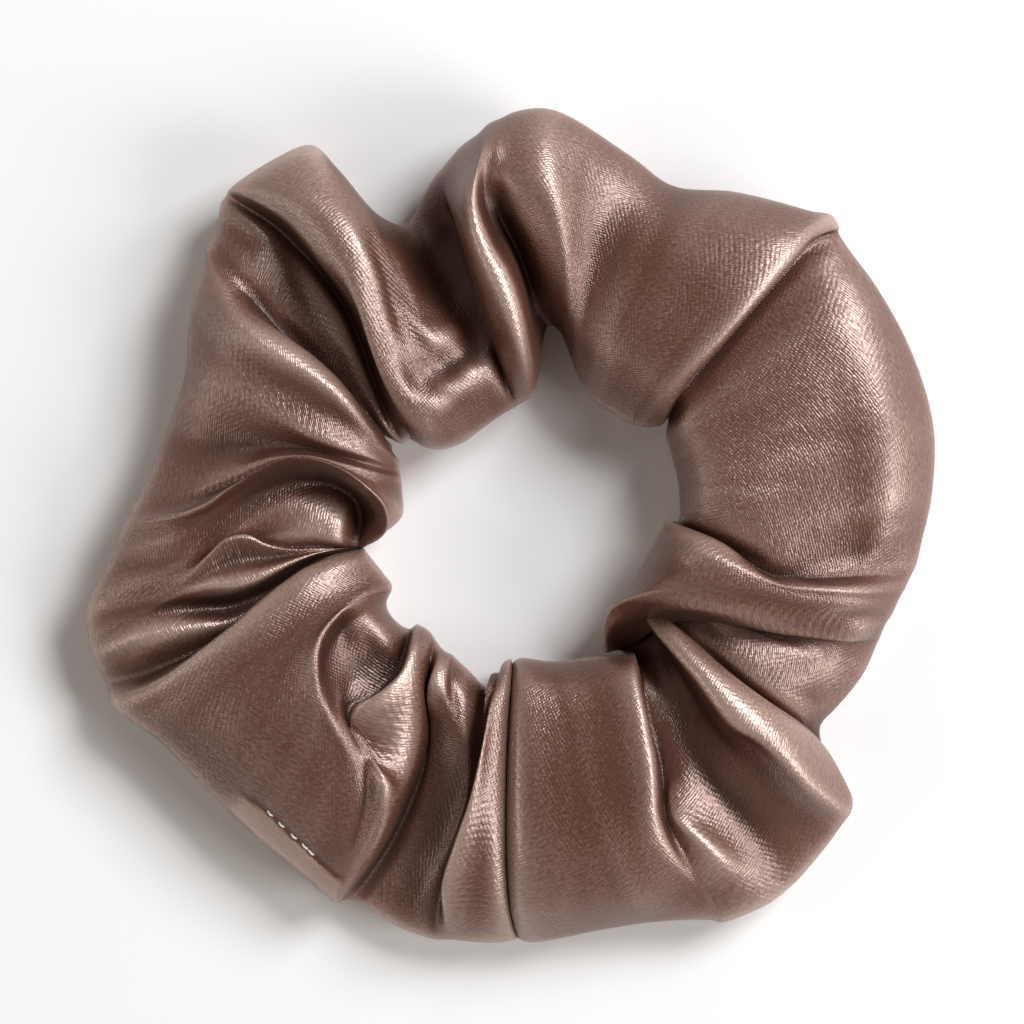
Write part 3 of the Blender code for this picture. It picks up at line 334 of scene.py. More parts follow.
        (598.6, 41.4, 16), (600.6, 46, 14.6), (601.2, 50.4, 12.8), (601.3, 56, 8.5))),
    Rib("tongue_lip", ((582.9, 20.9, 9.8), (584.8, 22.3, 13.4), (588, 24.4, 16.2), (589.5, 26.6, 17.2),
        (589.2, 29, 17.8), (588.3, 31.2, 17.8), (587.2, 33, 17.2), (588, 35.2, 16.4), (594.2, 36.8, 16),
        (599.4, 39.2, 17.6), (602, 43.4, 16), (602.6, 48.4, 13.8), (602.5, 56.2, 8.4))),
    Rib("tongue_plane", ((584, 20.7, 10.2), (586.8, 22.4, 14.6), (589.7, 24.4, 16.5), (592, 27, 17),
        (592.8, 30, 17), (592.4, 33, 16.6), (593.6, 35.4, 15.9), (597.6, 37.4, 16), (601, 39, 17.6),
        (603, 43.4, 15.8), (603.4, 48.4, 13.4), (602.9, 56.2, 8.3))),
    Rib("tongue_crest", ((585.6, 20.5, 10.2), (588.8, 22.4, 14.8), (591.8, 24.3, 16), (594.8, 27, 16.2),
        (597, 30, 15.9), (598.6, 33, 15.5), (600, 35.8, 15.2), (601.8, 38, 15.2), (603.4, 40, 15.6),
        (604.2, 44.4, 14.8), (604, 49.4, 12.2), (603.3, 56, 8))),
    Rib("tongue_slope", ((588.2, 20.4, 10), (591, 22.2, 13.6), (594, 24.2, 14.4), (598, 27.4, 14.4),
        (601, 30.6, 14), (603, 34, 13.6), (604.2, 37.6, 13.4), (605, 41.2, 13), (605.2, 45.6, 12.4),
        (604.6, 50.4, 10.6), (603.6, 55.6, 7.4))),
    Rib("gap", ((591.6, 20.8, 9), (594, 22.8, 11), (597.4, 25, 11.2), (601.4, 28.4, 10.4),
        (604.6, 31.4, 9.4), (606.2, 35.6, 8.8), (606.6, 41, 8.4), (606.2, 46.6, 8), (605.4, 51.6, 7.2),
        (604.7, 55.2, 5.8)), 0.8),
    Rib("gap_pleat", ((595.8, 21.2, 9.8), (596.4, 23, 13.6), (597.6, 25.2, 14.8), (599.4, 27.2, 13.6),
        (603.4, 30, 11), (607, 34.4, 9.8), (608.6, 40, 9.2), (608.6, 46, 8.6), (608.2, 51.4, 7.6),
        (607.8, 55.4, 5.9))),
    Rib("gap_side", ((599, 21.1, 10), (600.2, 23, 13.8), (601.8, 25, 14.8), (604.2, 27.2, 13.4),
        (607.4, 30.4, 11.8), (610, 34.6, 10.6), (611, 40.4, 9.6), (610.6, 46.4, 8.9), (610, 51.6, 7.8),
        (609.8, 55.8, 5.9))),
    Rib("gap_edge", ((600.2, 21.2, 9.6), (602.4, 23.2, 12.6), (605.2, 25.4, 13), (608.4, 27.8, 13),
        (611.6, 30, 12.6), (614.4, 32.6, 12), (615.2, 36.6, 11), (614.6, 42, 10), (613.2, 48, 9.2),
        (612.4, 56.2, 6))),
    Rib("gap_panel", ((607, 22, 9.2), (608.2, 24.8, 12.6), (610.6, 27.6, 13), (613.2, 30.4, 12.6),
        (615.4, 33.6, 11.8), (616.2, 38, 11.2), (615.6, 43, 10.4), (614.6, 49, 9.4), (614.4, 56.3, 6.1))),
    Rib("roll_foot", ((615.2, 23.4, 8.4), (616.4, 25.6, 10.8), (617.4, 28.4, 11), (617.8, 32, 10.8),
        (617.8, 37, 10.8), (617, 43, 10.4), (616.2, 49, 9.4), (616.6, 56.4, 6)), 0.6),
    Rib("seam_roll_edge", ((616.8, 21.8, 9.4), (616.6, 24.8, 14.4), (616.9, 27.8, 16.2),
        (617.1, 30.8, 17.2), (617.2, 34, 17.6), (617.1, 38, 17.4), (616.4, 43, 16.6), (616.1, 49, 14.2),
        (618.8, 56, 6.4))),
    Rib("seam_roll", ((617.9, 19.8, 9.8), (617.9, 24, 14.4), (618.6, 29.5, 16.2), (619.7, 36, 16.7),
        (620.2, 42, 16), (621, 48.4, 13.4), (622.6, 55.7, 6.8))),
    Rib("seam_near", ((620.3, 19, 9.4), (620.4, 22, 13), (621.1, 28.4, 15.2), (622.2, 36, 15.8),
        (623.2, 43.6, 15.1), (624.4, 50.4, 12), (625.7, 55.5, 6))),
    Rib("seam_left", ((621.2, 19.3, 8), (621.8, 21.4, 11.8), (622.8, 28, 14.2), (624, 36, 14.8),
        (625.1, 44, 14), (626.3, 51, 10.5), (627.6, 55.1, 4.6))),
)


@dataclass(frozen=True)
class Crimp:
    """Short creases across a fold.

    Start and end are shares of the rib that they cross, from the hole to the rim. Reach is in columns
    of the cloth, and amount runs from 0 to 1.
    """

    rib: str
    start: float
    end: float
    reach: float
    amount: float


CRIMPS = (
    Crimp("mouth_face", 0.3, 0.9, 14, 1.0),
    Crimp("mouth_crest", 0.15, 0.6, 8, 0.5),
    Crimp("wing_hollow", 0.2, 0.7, 8, 0.5),
    Crimp("peak_slope", 0.35, 0.85, 10, 0.8),
    Crimp("ramp_valley", 0.4, 0.95, 10, 0.6),
    Crimp("step_crest", 0.3, 0.8, 8, 0.8),
    Crimp("roll_side_a", 0.45, 0.95, 8, 0.6),
    Crimp("tongue_crest", 0.2, 0.7, 6, 0.6),
    Crimp("seam_roll", 0.2, 0.9, 7, 0.7),
)


def curve_through(points: np.ndarray, counts: list[int]) -> np.ndarray:
    """A smooth line through points, with so many steps between each one and the next.

    Args:
        points: Any number of rows, each a point or a whole line of points.
        counts: Steps in each gap between rows.

    Returns:
        The rows of the finer line, the last one included.
    """
    before = 2 * points[:1] - points[1:2]
    after = 2 * points[-1:] - points[-2:-1]
    row = np.concatenate([before, points, after])
    gap = np.sqrt(np.maximum(np.linalg.norm(np.diff(row, axis=0), axis=-1, keepdims=True), 1e-6))
    knot = np.concatenate([np.zeros_like(gap[:1]), np.cumsum(gap, axis=0)])
    pieces = []
    for start, count in enumerate(counts):
        p0, p1, p2, p3 = row[start:start + 4]
        t0, t1, t2, t3 = knot[start:start + 4]
        for step in range(count):
            t = t1 + (t2 - t1) * step / count
            a1 = (p0 * (t1 - t) + p1 * (t - t0)) / (t1 - t0)
            a2 = (p1 * (t2 - t) + p2 * (t - t1)) / (t2 - t1)
            a3 = (p2 * (t3 - t) + p3 * (t - t2)) / (t3 - t2)
            b1 = (a1 * (t2 - t) + a2 * (t - t0)) / (t2 - t0)
            b2 = (a2 * (t3 - t) + a3 * (t - t1)) / (t3 - t1)
            pieces.append((b1 * (t2 - t) + b2 * (t - t1)) / (t2 - t1))
    return np.stack([*pieces, points[-1]])


def run_length(line: np.ndarray) -> np.ndarray:
    """How far along a line each of its points lies."""
    return np.concatenate([[0], np.cumsum(np.linalg.norm(np.diff(line, axis=0), axis=1))])


def at_stops(line: np.ndarray, stops: np.ndarray) -> np.ndarray:
    """The points of a line at the given distances along it."""
    run = run_length(line)
    return np.column_stack([np.interp(stops, run, line[:, axis]) for axis in range(3)])


def evenly(line: np.ndarray, count: int) -> np.ndarray:
    """So many points at even distances along a line, both ends included."""
    return at_stops(line, np.linspace(0, run_length(line)[-1], count))


def polar(bearing: np.ndarray, radius: np.ndarray, height: np.ndarray) -> np.ndarray:
    """Points round the loop's middle.

    Args:
        bearing: Degrees to the left of +X.
        radius: Millimetres from the loop's axis.
        height: Millimetres above the table.

    Returns:
        The points, in metres.
    """
    angle = np.radians(bearing)
    flat = np.column_stack([radius * np.cos(angle), radius * np.sin(angle), height])
    return flat * MM + LOOP_CENTRE


def unit(vectors: np.ndarray) -> np.ndarray:
    """The vectors at length one."""
    return vectors / np.maximum(np.linalg.norm(vectors, axis=-1, keepdims=True), 1e-12)


def smooth_step(share: np.ndarray) -> np.ndarray:
    """A share from 0 to 1, eased at both ends."""
    share = np.clip(share, 0, 1)
    return share * share * (3 - 2 * share)


def hem_radius(bearing: np.ndarray) -> np.ndarray:
    """How far from the loop's middle the hem's stitch line lies, in millimetres, at each bearing."""
    return np.interp(bearing, *zip(*HEM_LINE))


def mean_runs(grid: np.ndarray) -> tuple[np.ndarray, np.ndarray]:
    """How far along the strip its columns lie and how far across it its rows lie, on the average.

    Args:
        grid: The cloth's points.

    Returns:
        The columns' distances and the rows' distances, in metres.
    """
    along = np.linalg.norm(np.diff(grid, axis=0), axis=2).mean(axis=1)
    across = np.linalg.norm(np.diff(grid, axis=1), axis=2).mean(axis=0)
    return np.concatenate([[0], np.cumsum(along)]), np.concatenate([[0], np.cumsum(across)])


def normals(grid: np.ndarray) -> np.ndarray:
    """Which way the cloth faces at each of its points."""
    return unit(np.cross(np.gradient(grid, axis=1), np.gradient(grid, axis=0)))


def towards_middle(ring: np.ndarray, ahead: np.ndarray) -> np.ndarray:
    """Which way the inside of a tube lies from a ring round it.

    Args:
        ring: Points round the tube.
        ahead: The way that the tube runs there.

    Returns:
        A direction for each point.
    """
    inward = unit(np.cross(unit(np.gradient(ring, axis=0)), ahead))
    return inward * np.sign(np.sum((ring.mean(axis=0) - ring) * inward))


def make_piece(name: str, points: np.ndarray, faces: list, flat: np.ndarray) -> bpy.types.Object:
    """Makes a smooth mesh object with a UV map in flat metres.

    Args:
        name: The piece's name.
        points: Its vertices, in metres.
        faces: Vertex numbers of each face, turning outwards.
        flat: The flat place of each vertex, in metres.

    Returns:
        The new object, linked to the scene.
    """
    mesh = bpy.data.meshes.new(name)
    mesh.from_pydata(points.tolist(), [], faces)
    mesh.shade_smooth()
    corner = np.empty(len(mesh.loops), np.int32)
    mesh.loops.foreach_get("vertex_index", corner)
    mesh.uv_layers.new(name=FLAT_MAP).data.foreach_set("uv", flat[corner].ravel())
    piece = bpy.data.objects.new(name, mesh)
    bpy.context.scene.collection.objects.link(piece)
    return piece


def make_tube(name: str, rings: np.ndarray) -> bpy.types.Object:
    """Makes a tube through rings of points, closed at both ends.

    Args:
        name: The piece's name.
        rings: Stations along the tube, then points round each, turning left about the way ahead.

    Returns:
        The new object.
    """
    stations, sides, _ = rings.shape
    index = np.arange(stations * sides).reshape(stations, sides)
    beside = np.roll(index, -1, axis=1)
    quads = np.stack([index[:-1], beside[:-1], beside[1:], index[1:]], axis=-1).reshape(-1, 4)
    faces = [*quads.tolist(), index[0][::-1].tolist(), index[-1].tolist()]
    along = run_length(rings.mean(axis=1))
    girth = np.linalg.norm(np.roll(rings[0], -1, axis=0) - rings[0], axis=1).cumsum()
    flat = np.stack(np.meshgrid(along, girth, indexing="ij"), axis=-1).reshape(-1, 2)
    return make_piece(name, rings.reshape(-1, 3), faces, flat)


def dress(piece: bpy.types.Object, finish: bpy.types.Material, body: Body, slot: Slot, *nodes: str) -> None:
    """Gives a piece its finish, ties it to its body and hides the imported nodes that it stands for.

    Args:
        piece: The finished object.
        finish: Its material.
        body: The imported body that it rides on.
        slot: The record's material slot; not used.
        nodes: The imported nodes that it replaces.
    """
    piece.data.materials.append(finish)
    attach(piece, body.value)
    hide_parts(*nodes)
    LOG.info("%s: %d faces, for %s", piece.name, len(piece.data.polygons), ", ".join(nodes))


@dataclass(frozen=True)
class Underside:
    """How the cloth runs below a rib.

    The strip's two edges stand up inside the tube, side by side, and the cloth bends from them to the
    table, runs along it to the hole and to the rim, and turns up there to meet the rib. Lengths are in
    millimetres, as in the ribs, and the bend's bearing is in degrees. The lifts are for a rib of lift 1.
    """

    seam_share: float = 0.62
    edge_gap: float = 0.1
    edge_top: float = 2.4
    edge_low: float = 0.9
    bend: float = 0.5
    bend_bearing: float = 0.1
    bend_height: float = 0.25
    floor_height: float = 0.3
    floor_lift: float = 0.9
    seam_lift: float = 4.0
    hole_floor: float = 5.0
    hole_corner: float = 1.7
    hole_corner_least: float = 24.8
    hole_corner_height: float = 1.3
    hole_wall: float = 0.25
    rim_floor: float = 4.5
    rim_corner: float = 1.6
    rim_corner_height: float = 0.9
    rim_wall: float = 0.15
    wall_share: float = 0.55


@dataclass
class SatinSleeve:
    """The gathered tube of satin, one strip whose long seam lies on the underside.

    Lengths are in metres, but for the hem's widths and radius, which are in millimetres, as in the ribs.
    The hem's span and ease are in degrees. Each turn of an end is a share of how far it is turned in and of
    how deep it goes. The fine pleats are so many times finer along and across, at a place of their own in the
    noise. Each fold reach is a number of smoothing passes, the depth that counts in full, and how much a
    crest's painted highlight counts beside a valley's painted shade. The side shade is painted shade on steep
    sides, between the side tilts, and the hem's painted highlight pales the doubled band beside the hem's
    stitch line.
    """

    name: str = "satin_cover"
    underside: Underside = Underside()
    top_rows: int = 84
    wall_rows: int = 9
    floor_rows: int = 11
    rib_steps: int = 8
    column_step: float = 0.8 * MM
    column_share: float = 0.8
    column_counts: tuple = (2, 14)
    end_columns: int = 4
    turned_in: float = 1.4 * MM
    turn_depth: float = 3.0 * MM
    turns: tuple = ((0.35, 0.03), (0.8, 0.01), (1.0, -0.3), (1.0, -1.0))
    pleat_width: float = 2.6 * MM
    pleat_reach: float = 15.0 * MM
    pleat_height: float = 0.09 * MM
    pleat_ease: int = 12
    fine_pleat: tuple = (1.9, 1.4, 9)
    fine_pleat_share: float = 0.45
    table_gap: float = 0.03 * MM
    hem_groove: float = 0.34 * MM
    hem_groove_width: float = 0.55
    hem_rise: float = 0.22 * MM
    hem_rise_width: float = 0.8
    hem_edge_width: float = 1.5
    hem_span: tuple = (224.0, 242.0)
    hem_ease: tuple = (4.0, 2.0)
    hem_least_radius: float = 44.0
    crimp_ease: float = 0.1
    # Painted light on the fold attribute: painted shade in valleys and on steep sides, painted highlights on
    # crests and on the hem's band.
    fold_reach: tuple = ((10, 1.4 * MM, 1.0), (30, 5.0 * MM, 0.2), (60, 14.0 * MM, 0.0))
    side_shade: float = 0.2
    side_tilt: tuple = (0.8, 0.2)
    hem_painted_highlight: float = 0.5
    grid: np.ndarray = None
    rib_columns: dict = None

    def ring(self, rib: Rib, hole_bearing: float, rim_bearing: float) -> np.ndarray:
        """One whole line round the tube, from the long seam by the hole and the rim back to it.

        Args:
            rib: The line over the top.
            hole_bearing: Where the underside lies near the hole, in degrees.
            rim_bearing: Where it lies near the rim.

        Returns:
            The points of the ring, in metres.
        """
        top = np.array(rib.points, float)
        hole, rim = top[0], top[-1]
        under = self.underside
        seam_radius = hole[1] + under.seam_share * (rim[1] - hole[1])
        seam_bearing = hole_bearing + under.seam_share * (rim_bearing - hole_bearing)
        low, high = under.floor_lift * rib.lift, under.seam_lift * rib.lift
        floor_radius = hole[1] + under.hole_floor
        corner_radius = min(hole[1] + under.hole_corner, max(hole[1], under.hole_corner_least))
        inner = np.array([
            (seam_bearing, seam_radius - under.edge_gap, under.edge_top + high),
            (seam_bearing, seam_radius - under.edge_gap, under.edge_low + high),
            (seam_bearing - under.bend_bearing, seam_radius - under.bend, under.bend_height + high),
            ((seam_bearing + hole_bearing) / 2, (seam_radius + floor_radius) / 2, under.floor_height + low),
            (hole_bearing, floor_radius, under.floor_height + low),
            ((hole_bearing + hole[0]) / 2, corner_radius, under.hole_corner_height + low),
            (hole[0], hole[1] + under.hole_wall, under.wall_share * hole[2]),
        ])
        outer = np.array([
            (rim[0], rim[1] - under.rim_wall, under.wall_share * rim[2]),
            ((rim_bearing + rim[0]) / 2, rim[1] - under.rim_corner, under.rim_corner_height + high / 2),
            (rim_bearing, rim[1] - under.rim_floor, under.bend_height + high),
            (seam_bearing + under.bend_bearing, seam_radius + under.bend, under.bend_height + high),
            (seam_bearing, seam_radius + under.edge_gap, under.edge_low + high),
            (seam_bearing, seam_radius + under.edge_gap, under.edge_top + high),
        ])
        control = polar(*np.concatenate([inner, top, outer]).T)
        fine = curve_through(control, [self.rib_steps] * (len(control) - 1))
        first, last = self.rib_steps * len(inner), self.rib_steps * (len(inner) + len(top) - 1)
        return np.concatenate([
            evenly(fine[:first + 1], self.wall_rows + self.floor_rows)[:-1],
            evenly(fine[first:last + 1], self.top_rows),
            evenly(fine[last:], self.wall_rows + self.floor_rows)[1:],
        ])

    def rings(self) -> np.ndarray:
        """The ring of every rib, in order from the closing seam round to it again.

        Returns:
            The rings, each an array of points in metres.
        """
        hole = np.maximum.accumulate([rib.points[0][0] for rib in RIBS])
        rim = np.maximum.accumulate([rib.points[-1][0] for rib in RIBS])
        return np.stack([self.ring(*given) for given in zip(RIBS, hole, rim)])

    def columns(self) -> np.ndarray:
        """The cloth's grid of points.

        Returns:
            Columns along the strip, each with its rows across it, in metres.
        """
        rings = self.rings()
        apart = np.linalg.norm(np.diff(rings, axis=0), axis=2)
        reach = np.quantile(apart, self.column_share, axis=1)
        counts = np.clip(np.ceil(reach / self.column_step), *self.column_counts).astype(int)
        starts = len(self.turns) + np.concatenate([[0], np.cumsum(counts)])
        self.rib_columns = {rib.name: start for rib, start in zip(RIBS, starts)}
        grid = curve_through(rings, counts.tolist())
        self.pleat(grid)
        self.hem(grid)
        grid[:, :, 2] = np.maximum(grid[:, :, 2], self.table_gap)
        start, end = grid[:self.end_columns], grid[:-1 - self.end_columns:-1]
        return np.concatenate([self.turned_end(start)[::-1], grid, self.turned_end(end)])

    def top(self) -> slice:
        """The rows that lie over the top, from the hole's edge to the rim."""
        first = self.wall_rows + self.floor_rows - 1
        return slice(first, first + self.top_rows)

    def pleat(self, grid: np.ndarray) -> None:
        """Raises slight pleats that run across the strip.

        Args:
            grid: The cloth's points, which are moved.
        """
        along, across = mean_runs(grid)
        normal = normals(grid)
        ease = smooth_step(np.arange(len(grid)) / self.pleat_ease)
        edges = ease * ease[::-1]
        more_along, more_across, elsewhere = self.fine_pleat
        for column in range(len(grid)):
            for row in range(*self.top().indices(grid.shape[1])):
                place = (along[column] / self.pleat_width, across[row] / self.pleat_reach)
                fine = noise.noise((place[0] * more_along, place[1] * more_across, elsewhere))
                lift = noise.noise((*place, 0)) + self.fine_pleat_share * fine
                grid[column, row] += normal[column, row] * (self.pleat_height * lift * edges[column])

    def hem_marks(self, grid: np.ndarray) -> tuple[np.ndarray, np.ndarray]:
        """Finds the hem on the cloth.

        Args:
            grid: The cloth's points.

        Returns:
            How far each point of the top lies in the stitch line's groove, and how far on the band
            beside it, from 0 to 1.
        """
        top = grid[:, self.top()]
        flat = top[:, :, :2] - LOOP_CENTRE[:2]
        bearing = np.degrees(np.arctan2(flat[:, :, 1], flat[:, :, 0])) % 360
        run = np.linalg.norm(np.diff(top, axis=1), axis=2)[:, ::-1].cumsum(axis=1)[:, ::-1]
        inside = np.concatenate([run, np.zeros((len(grid), 1))], axis=1) / MM
        radius = np.linalg.norm(flat, axis=2) / MM
        begins = smooth_step((bearing - self.hem_span[0]) / self.hem_ease[0] + 0.5)
        ends = smooth_step((self.hem_span[1] - bearing) / self.hem_ease[1] + 0.5)
        share = begins * ends * (radius > self.hem_least_radius)
        past = radius - hem_radius(bearing)
        groove = share * np.exp(-(past / self.hem_groove_width) ** 2)
        band = smooth_step(past / self.hem_rise_width) * smooth_step(inside / self.hem_edge_width)
        return groove, share * band

    def hem(self, grid: np.ndarray) -> None:
        """Presses the hem's stitch line into the cloth and raises the doubled band beside it.

        Args:
            grid: The cloth's points, which are moved.
        """
        groove, band = self.hem_marks(grid)
        grid[:, self.top(), 2] += self.hem_rise * band - self.hem_groove * groove

    def crimps(self, grid: np.ndarray) -> np.ndarray:
        """How strongly the cloth is creased.

        Args:
            grid: The cloth's points.

        Returns:
            A value from 0 to 1 for each point.
        """
        strength = np.zeros(grid.shape[:2])
        column = np.arange(grid.shape[0])[:, None]
        share = np.linspace(0, 1, self.top_rows)[None, :]
        for crimp in CRIMPS:
            near = smooth_step(1 - np.abs(column - self.rib_columns[crimp.rib]) / crimp.reach)
            begun = smooth_step((share - crimp.start) / self.crimp_ease)
            on = begun * smooth_step((crimp.end - share) / self.crimp_ease)
            strength[:, self.top()] = np.maximum(strength[:, self.top()], crimp.amount * near * on)
        return strength

    def turned_end(self, edge: np.ndarray) -> np.ndarray:
        """The end of the strip folded into the tube, from its last columns.

        Args:
            edge: The outermost columns, the end of the strip first.

        Returns:
            More columns, going in from the end.
        """
        ring = edge[0]
        out = unit(ring.mean(axis=0) - edge[-1].mean(axis=0))
        inward = towards_middle(ring, out)
        return np.stack([
            ring + inward * (self.turned_in * deep) + out * (self.turn_depth * ahead)
            for deep, ahead in self.turns
        ])

    def folds(self, grid: np.ndarray) -> np.ndarray:
        """Where each point lies in its fold, which sets the satin's painted shade and painted highlights.

        Args:
            grid: The cloth's points.

        Returns:
            A value for each point: 0 for painted shade in a valley or on a steep side, 0.5 on plain cloth and
                1 for a painted highlight on a crest or on the hem's band.
        """
        normal = normals(grid)
        around = grid.copy()
        place = np.full(grid.shape[:2], PLAIN_FOLD)
        for passes, reach, crest in self.fold_reach:
            for _ in range(passes):
                around[1:-1] = (around[:-2] + around[1:-1] + around[2:]) / 3
                around[:, 1:-1] = (around[:, :-2] + around[:, 1:-1] + around[:, 2:]) / 3
            sunk = np.sum((around - grid) * normal, axis=2) / reach
            # Concave places take painted shade, convex ones a painted highlight.
            place -= np.where(sunk > 0, sunk, crest * sunk)
        # Painted shade on the steep sides.
        plain, steep = self.side_tilt
        place -= self.side_shade * smooth_step((plain - np.abs(normal[:, :, 2])) / (plain - steep))
        # A painted highlight on the hem's doubled band.
        place[:, self.top()] += self.hem_painted_highlight * self.hem_marks(grid)[1]
        return np.clip(place, 0, 1)

    def build(self) -> bpy.types.Object:
        """Makes the cover's mesh and object.

        Returns:
            The cover, with a UV map in flat metres, an attribute of painted shade and painted highlights, and
            one for its creases.
        """
        self.grid = self.columns()
        columns, rows, _ = self.grid.shape
        index = np.arange(columns * rows).reshape(columns, rows)
        quads = np.stack([index[:-1, :-1], index[:-1, 1:], index[1:, 1:], index[1:, :-1]], axis=-1)
        along, across = mean_runs(self.grid)
        flat = np.stack(np.meshgrid(along, across, indexing="ij"), axis=-1).reshape(-1, 2)
        cover = make_piece(self.name, self.grid.reshape(-1, 3), quads.reshape(-1, 4).tolist(), flat)
        # The fold layer holds painted shade and painted highlights; the crimp layer sets where the creases'
        # bump goes.
        layers = {PAINTED_LIGHT_LAYER: self.folds(self.grid), CRIMP_LAYER: self.crimps(self.grid)}
        for name, values in layers.items():
            layer = cover.data.attributes.new(name, "FLOAT", "POINT")
            layer.data.foreach_set("value", values.ravel().astype(np.float32))
        LOG.info("cover %d x %d, strip %.3f by %.3f m", columns, rows, across[-1], along[-1])
        return cover


@dataclass
class ThreadCord:
    """Sewing thread: two plies twisted together, drawn along a route.

    First_side is any way that no route starts along: it only sets where the twist begins.
    """

    diameter: float = 0.35 * MM
    sides: int = 10
    twist: float = 0.9 * MM
    step: float = 0.16 * MM
    flatness: float = 0.16
    route_steps: int = 5
    least_points: int = 8
    first_side: tuple = (0.31, 0.17, 0.93)

    def build(self, name: str, route: np.ndarray) -> bpy.types.Object:
        """Makes the thread.

        Args:
            name: The piece's name.
            route: Points that it passes through, in metres.

        Returns:
            The new object.
        """
        line = curve_through(route, [self.route_steps] * (len(route) - 1))
        line = evenly(line, max(self.least_points, int(run_length(line)[-1] / self.step)))
        line[:, 2] = np.maximum(line[:, 2], self.diameter / 2)
        ahead = unit(np.gradient(line, axis=0))
        side = unit(np.cross(ahead[0], self.first_side))
        sides = []
        for direction in ahead:
            side = unit(side - direction * (side @ direction))
            sides.append(side)
        sides = np.array(sides)
        ups = np.cross(ahead, sides)
        angle = np.linspace(0, math.tau, self.sides, endpoint=False)[None, :]
        turn = math.tau * run_length(line)[:, None] / self.twist
        radius = self.diameter / 2 * (1 - self.flatness + self.flatness * np.cos(2 * (angle - turn)))
        rings = line[:, None] + sides[:, None] * (radius * np.cos(angle))[:, :, None]
        return make_tube(name, rings + ups[:, None] * (radius * np.sin(angle))[:, :, None])


@dataclass
class Stitching:
    """The sleeve's seams: along the strip, across its ends, and the short hem on the lower left.

    The long seam's row and ends and the ladder's step count rows and columns of the cloth. Each hem
    stitch has a bearing in degrees, and stops round it as shares of a dash. The hem is found on the cloth
    by rays from a height in millimetres. The bobbin's depths are multiples of below.
    """

    sleeve: SatinSleeve
    cover: bpy.types.Object
    thread: ThreadCord
    stitch: float = 2.1 * MM
    long_seam_row: int = 2
    long_seam_ends: int = 6
    long_seam_side: float = 0.32 * MM
    ladder_step: int = 3
    ladder_margin: float = 4 * MM
    ladder_inset: float = 0.5 * MM
    ladder_reach: float = 0.35 * MM
    hem_spots: tuple = (223.7, 226.0, 228.4, 230.7, 233.1, 235.2, 236.4, 238.7, 241.0)
    hem_shown: tuple = (228.0, 236.6)
    hem_stops: tuple = (-1.15, -0.55, -0.35, 0.35, 0.55)
    hem_ray: float = 60.0
    dash: float = 1.0
    above: float = 0.1 * MM
    below: float = 0.3 * MM
    bobbin_depths: tuple = (-2.6, -2.0)

    def long_seam(self) -> bpy.types.Object:
        """The machine stitches that join the strip's long edges, in and out through both.

        Returns:
            The thread.
        """
        grid = self.sleeve.grid[self.long_seam_ends:-self.long_seam_ends]
        near, far = grid[:, self.long_seam_row], grid[:, -1 - self.long_seam_row]
        middle = (near + far) / 2
        count = int(run_length(middle)[-1] / (self.stitch / 2))
        stops = np.linspace(0, run_length(middle)[-1], count)
        side = unit(at_stops(far - near + middle, stops) - at_stops(middle, stops))
        sway = self.long_seam_side * np.where(np.arange(count) % 2, 1, -1)[:, None]
        return self.thread.build("long_seam_stitches", at_stops(middle, stops) + side * sway)

    def closing_seam(self) -> bpy.types.Object:
        """The hand-sewn ladder that draws the strip's two ends together.

        Returns:
            The thread.
        """
        turned = len(self.sleeve.turns)
        ends = self.sleeve.grid[turned], self.sleeve.grid[-1 - turned]
        ring = (ends[0] + ends[1]) / 2
        across = unit((self.sleeve.grid[turned + self.ladder_step] - ends[0]).mean(axis=0))
        path = ring + towards_middle(ring, across) * self.ladder_inset
        stops = np.arange(self.ladder_margin, run_length(path)[-1] - self.ladder_margin, self.stitch / 2)
        points = at_stops(path, stops)
        side = np.where(np.arange(len(stops)) // 2 % 2, 1, -1)[:, None]
        return self.thread.build("closing_seam_ladder", points + across * side * self.ladder_reach)

    def hem_route(self, raised: float, sunk: float) -> np.ndarray:
        """A thread's way along the hem, on one side of the cloth and the other by turns.

        Args:
            raised: How far it stands off the cloth at each of the stitches that show.
            sunk: How far it lies off the cloth elsewhere.

        Returns:
            Its points, in metres.
        """
        cloth = BVHTree.FromObject(self.cover, bpy.context.evaluated_depsgraph_get())
        points = []
        for spot in self.hem_spots:
            shows = self.hem_shown[0] <= spot <= self.hem_shown[1]
            for share in self.hem_stops:
                bearing = spot + share * self.dash
                off = raised if shows and abs(share) < 0.5 else sunk
                place = polar([bearing], [hem_radius(bearing)], [self.hem_ray])[0]
                hit, normal, _, _ = cloth.ray_cast(Vector(place), Vector((0, 0, -1)))
                points.append(np.array(hit) + np.array(normal) * off)
        return np.array(points)

    def hem_needle(self) -> bpy.types.Object:
        """The pale upper thread of the hem."""
        return self.thread.build("hem_needle_stitches", self.hem_route(self.above, -self.below))

    def hem_bobbin(self) -> bpy.types.Object:
        """The thread that locks the hem's stitches from inside."""
        raised, sunk = (depth * self.below for depth in self.bobbin_depths)
        return self.thread.build("hem_bobbin_stitches", self.hem_route(raised, sunk))


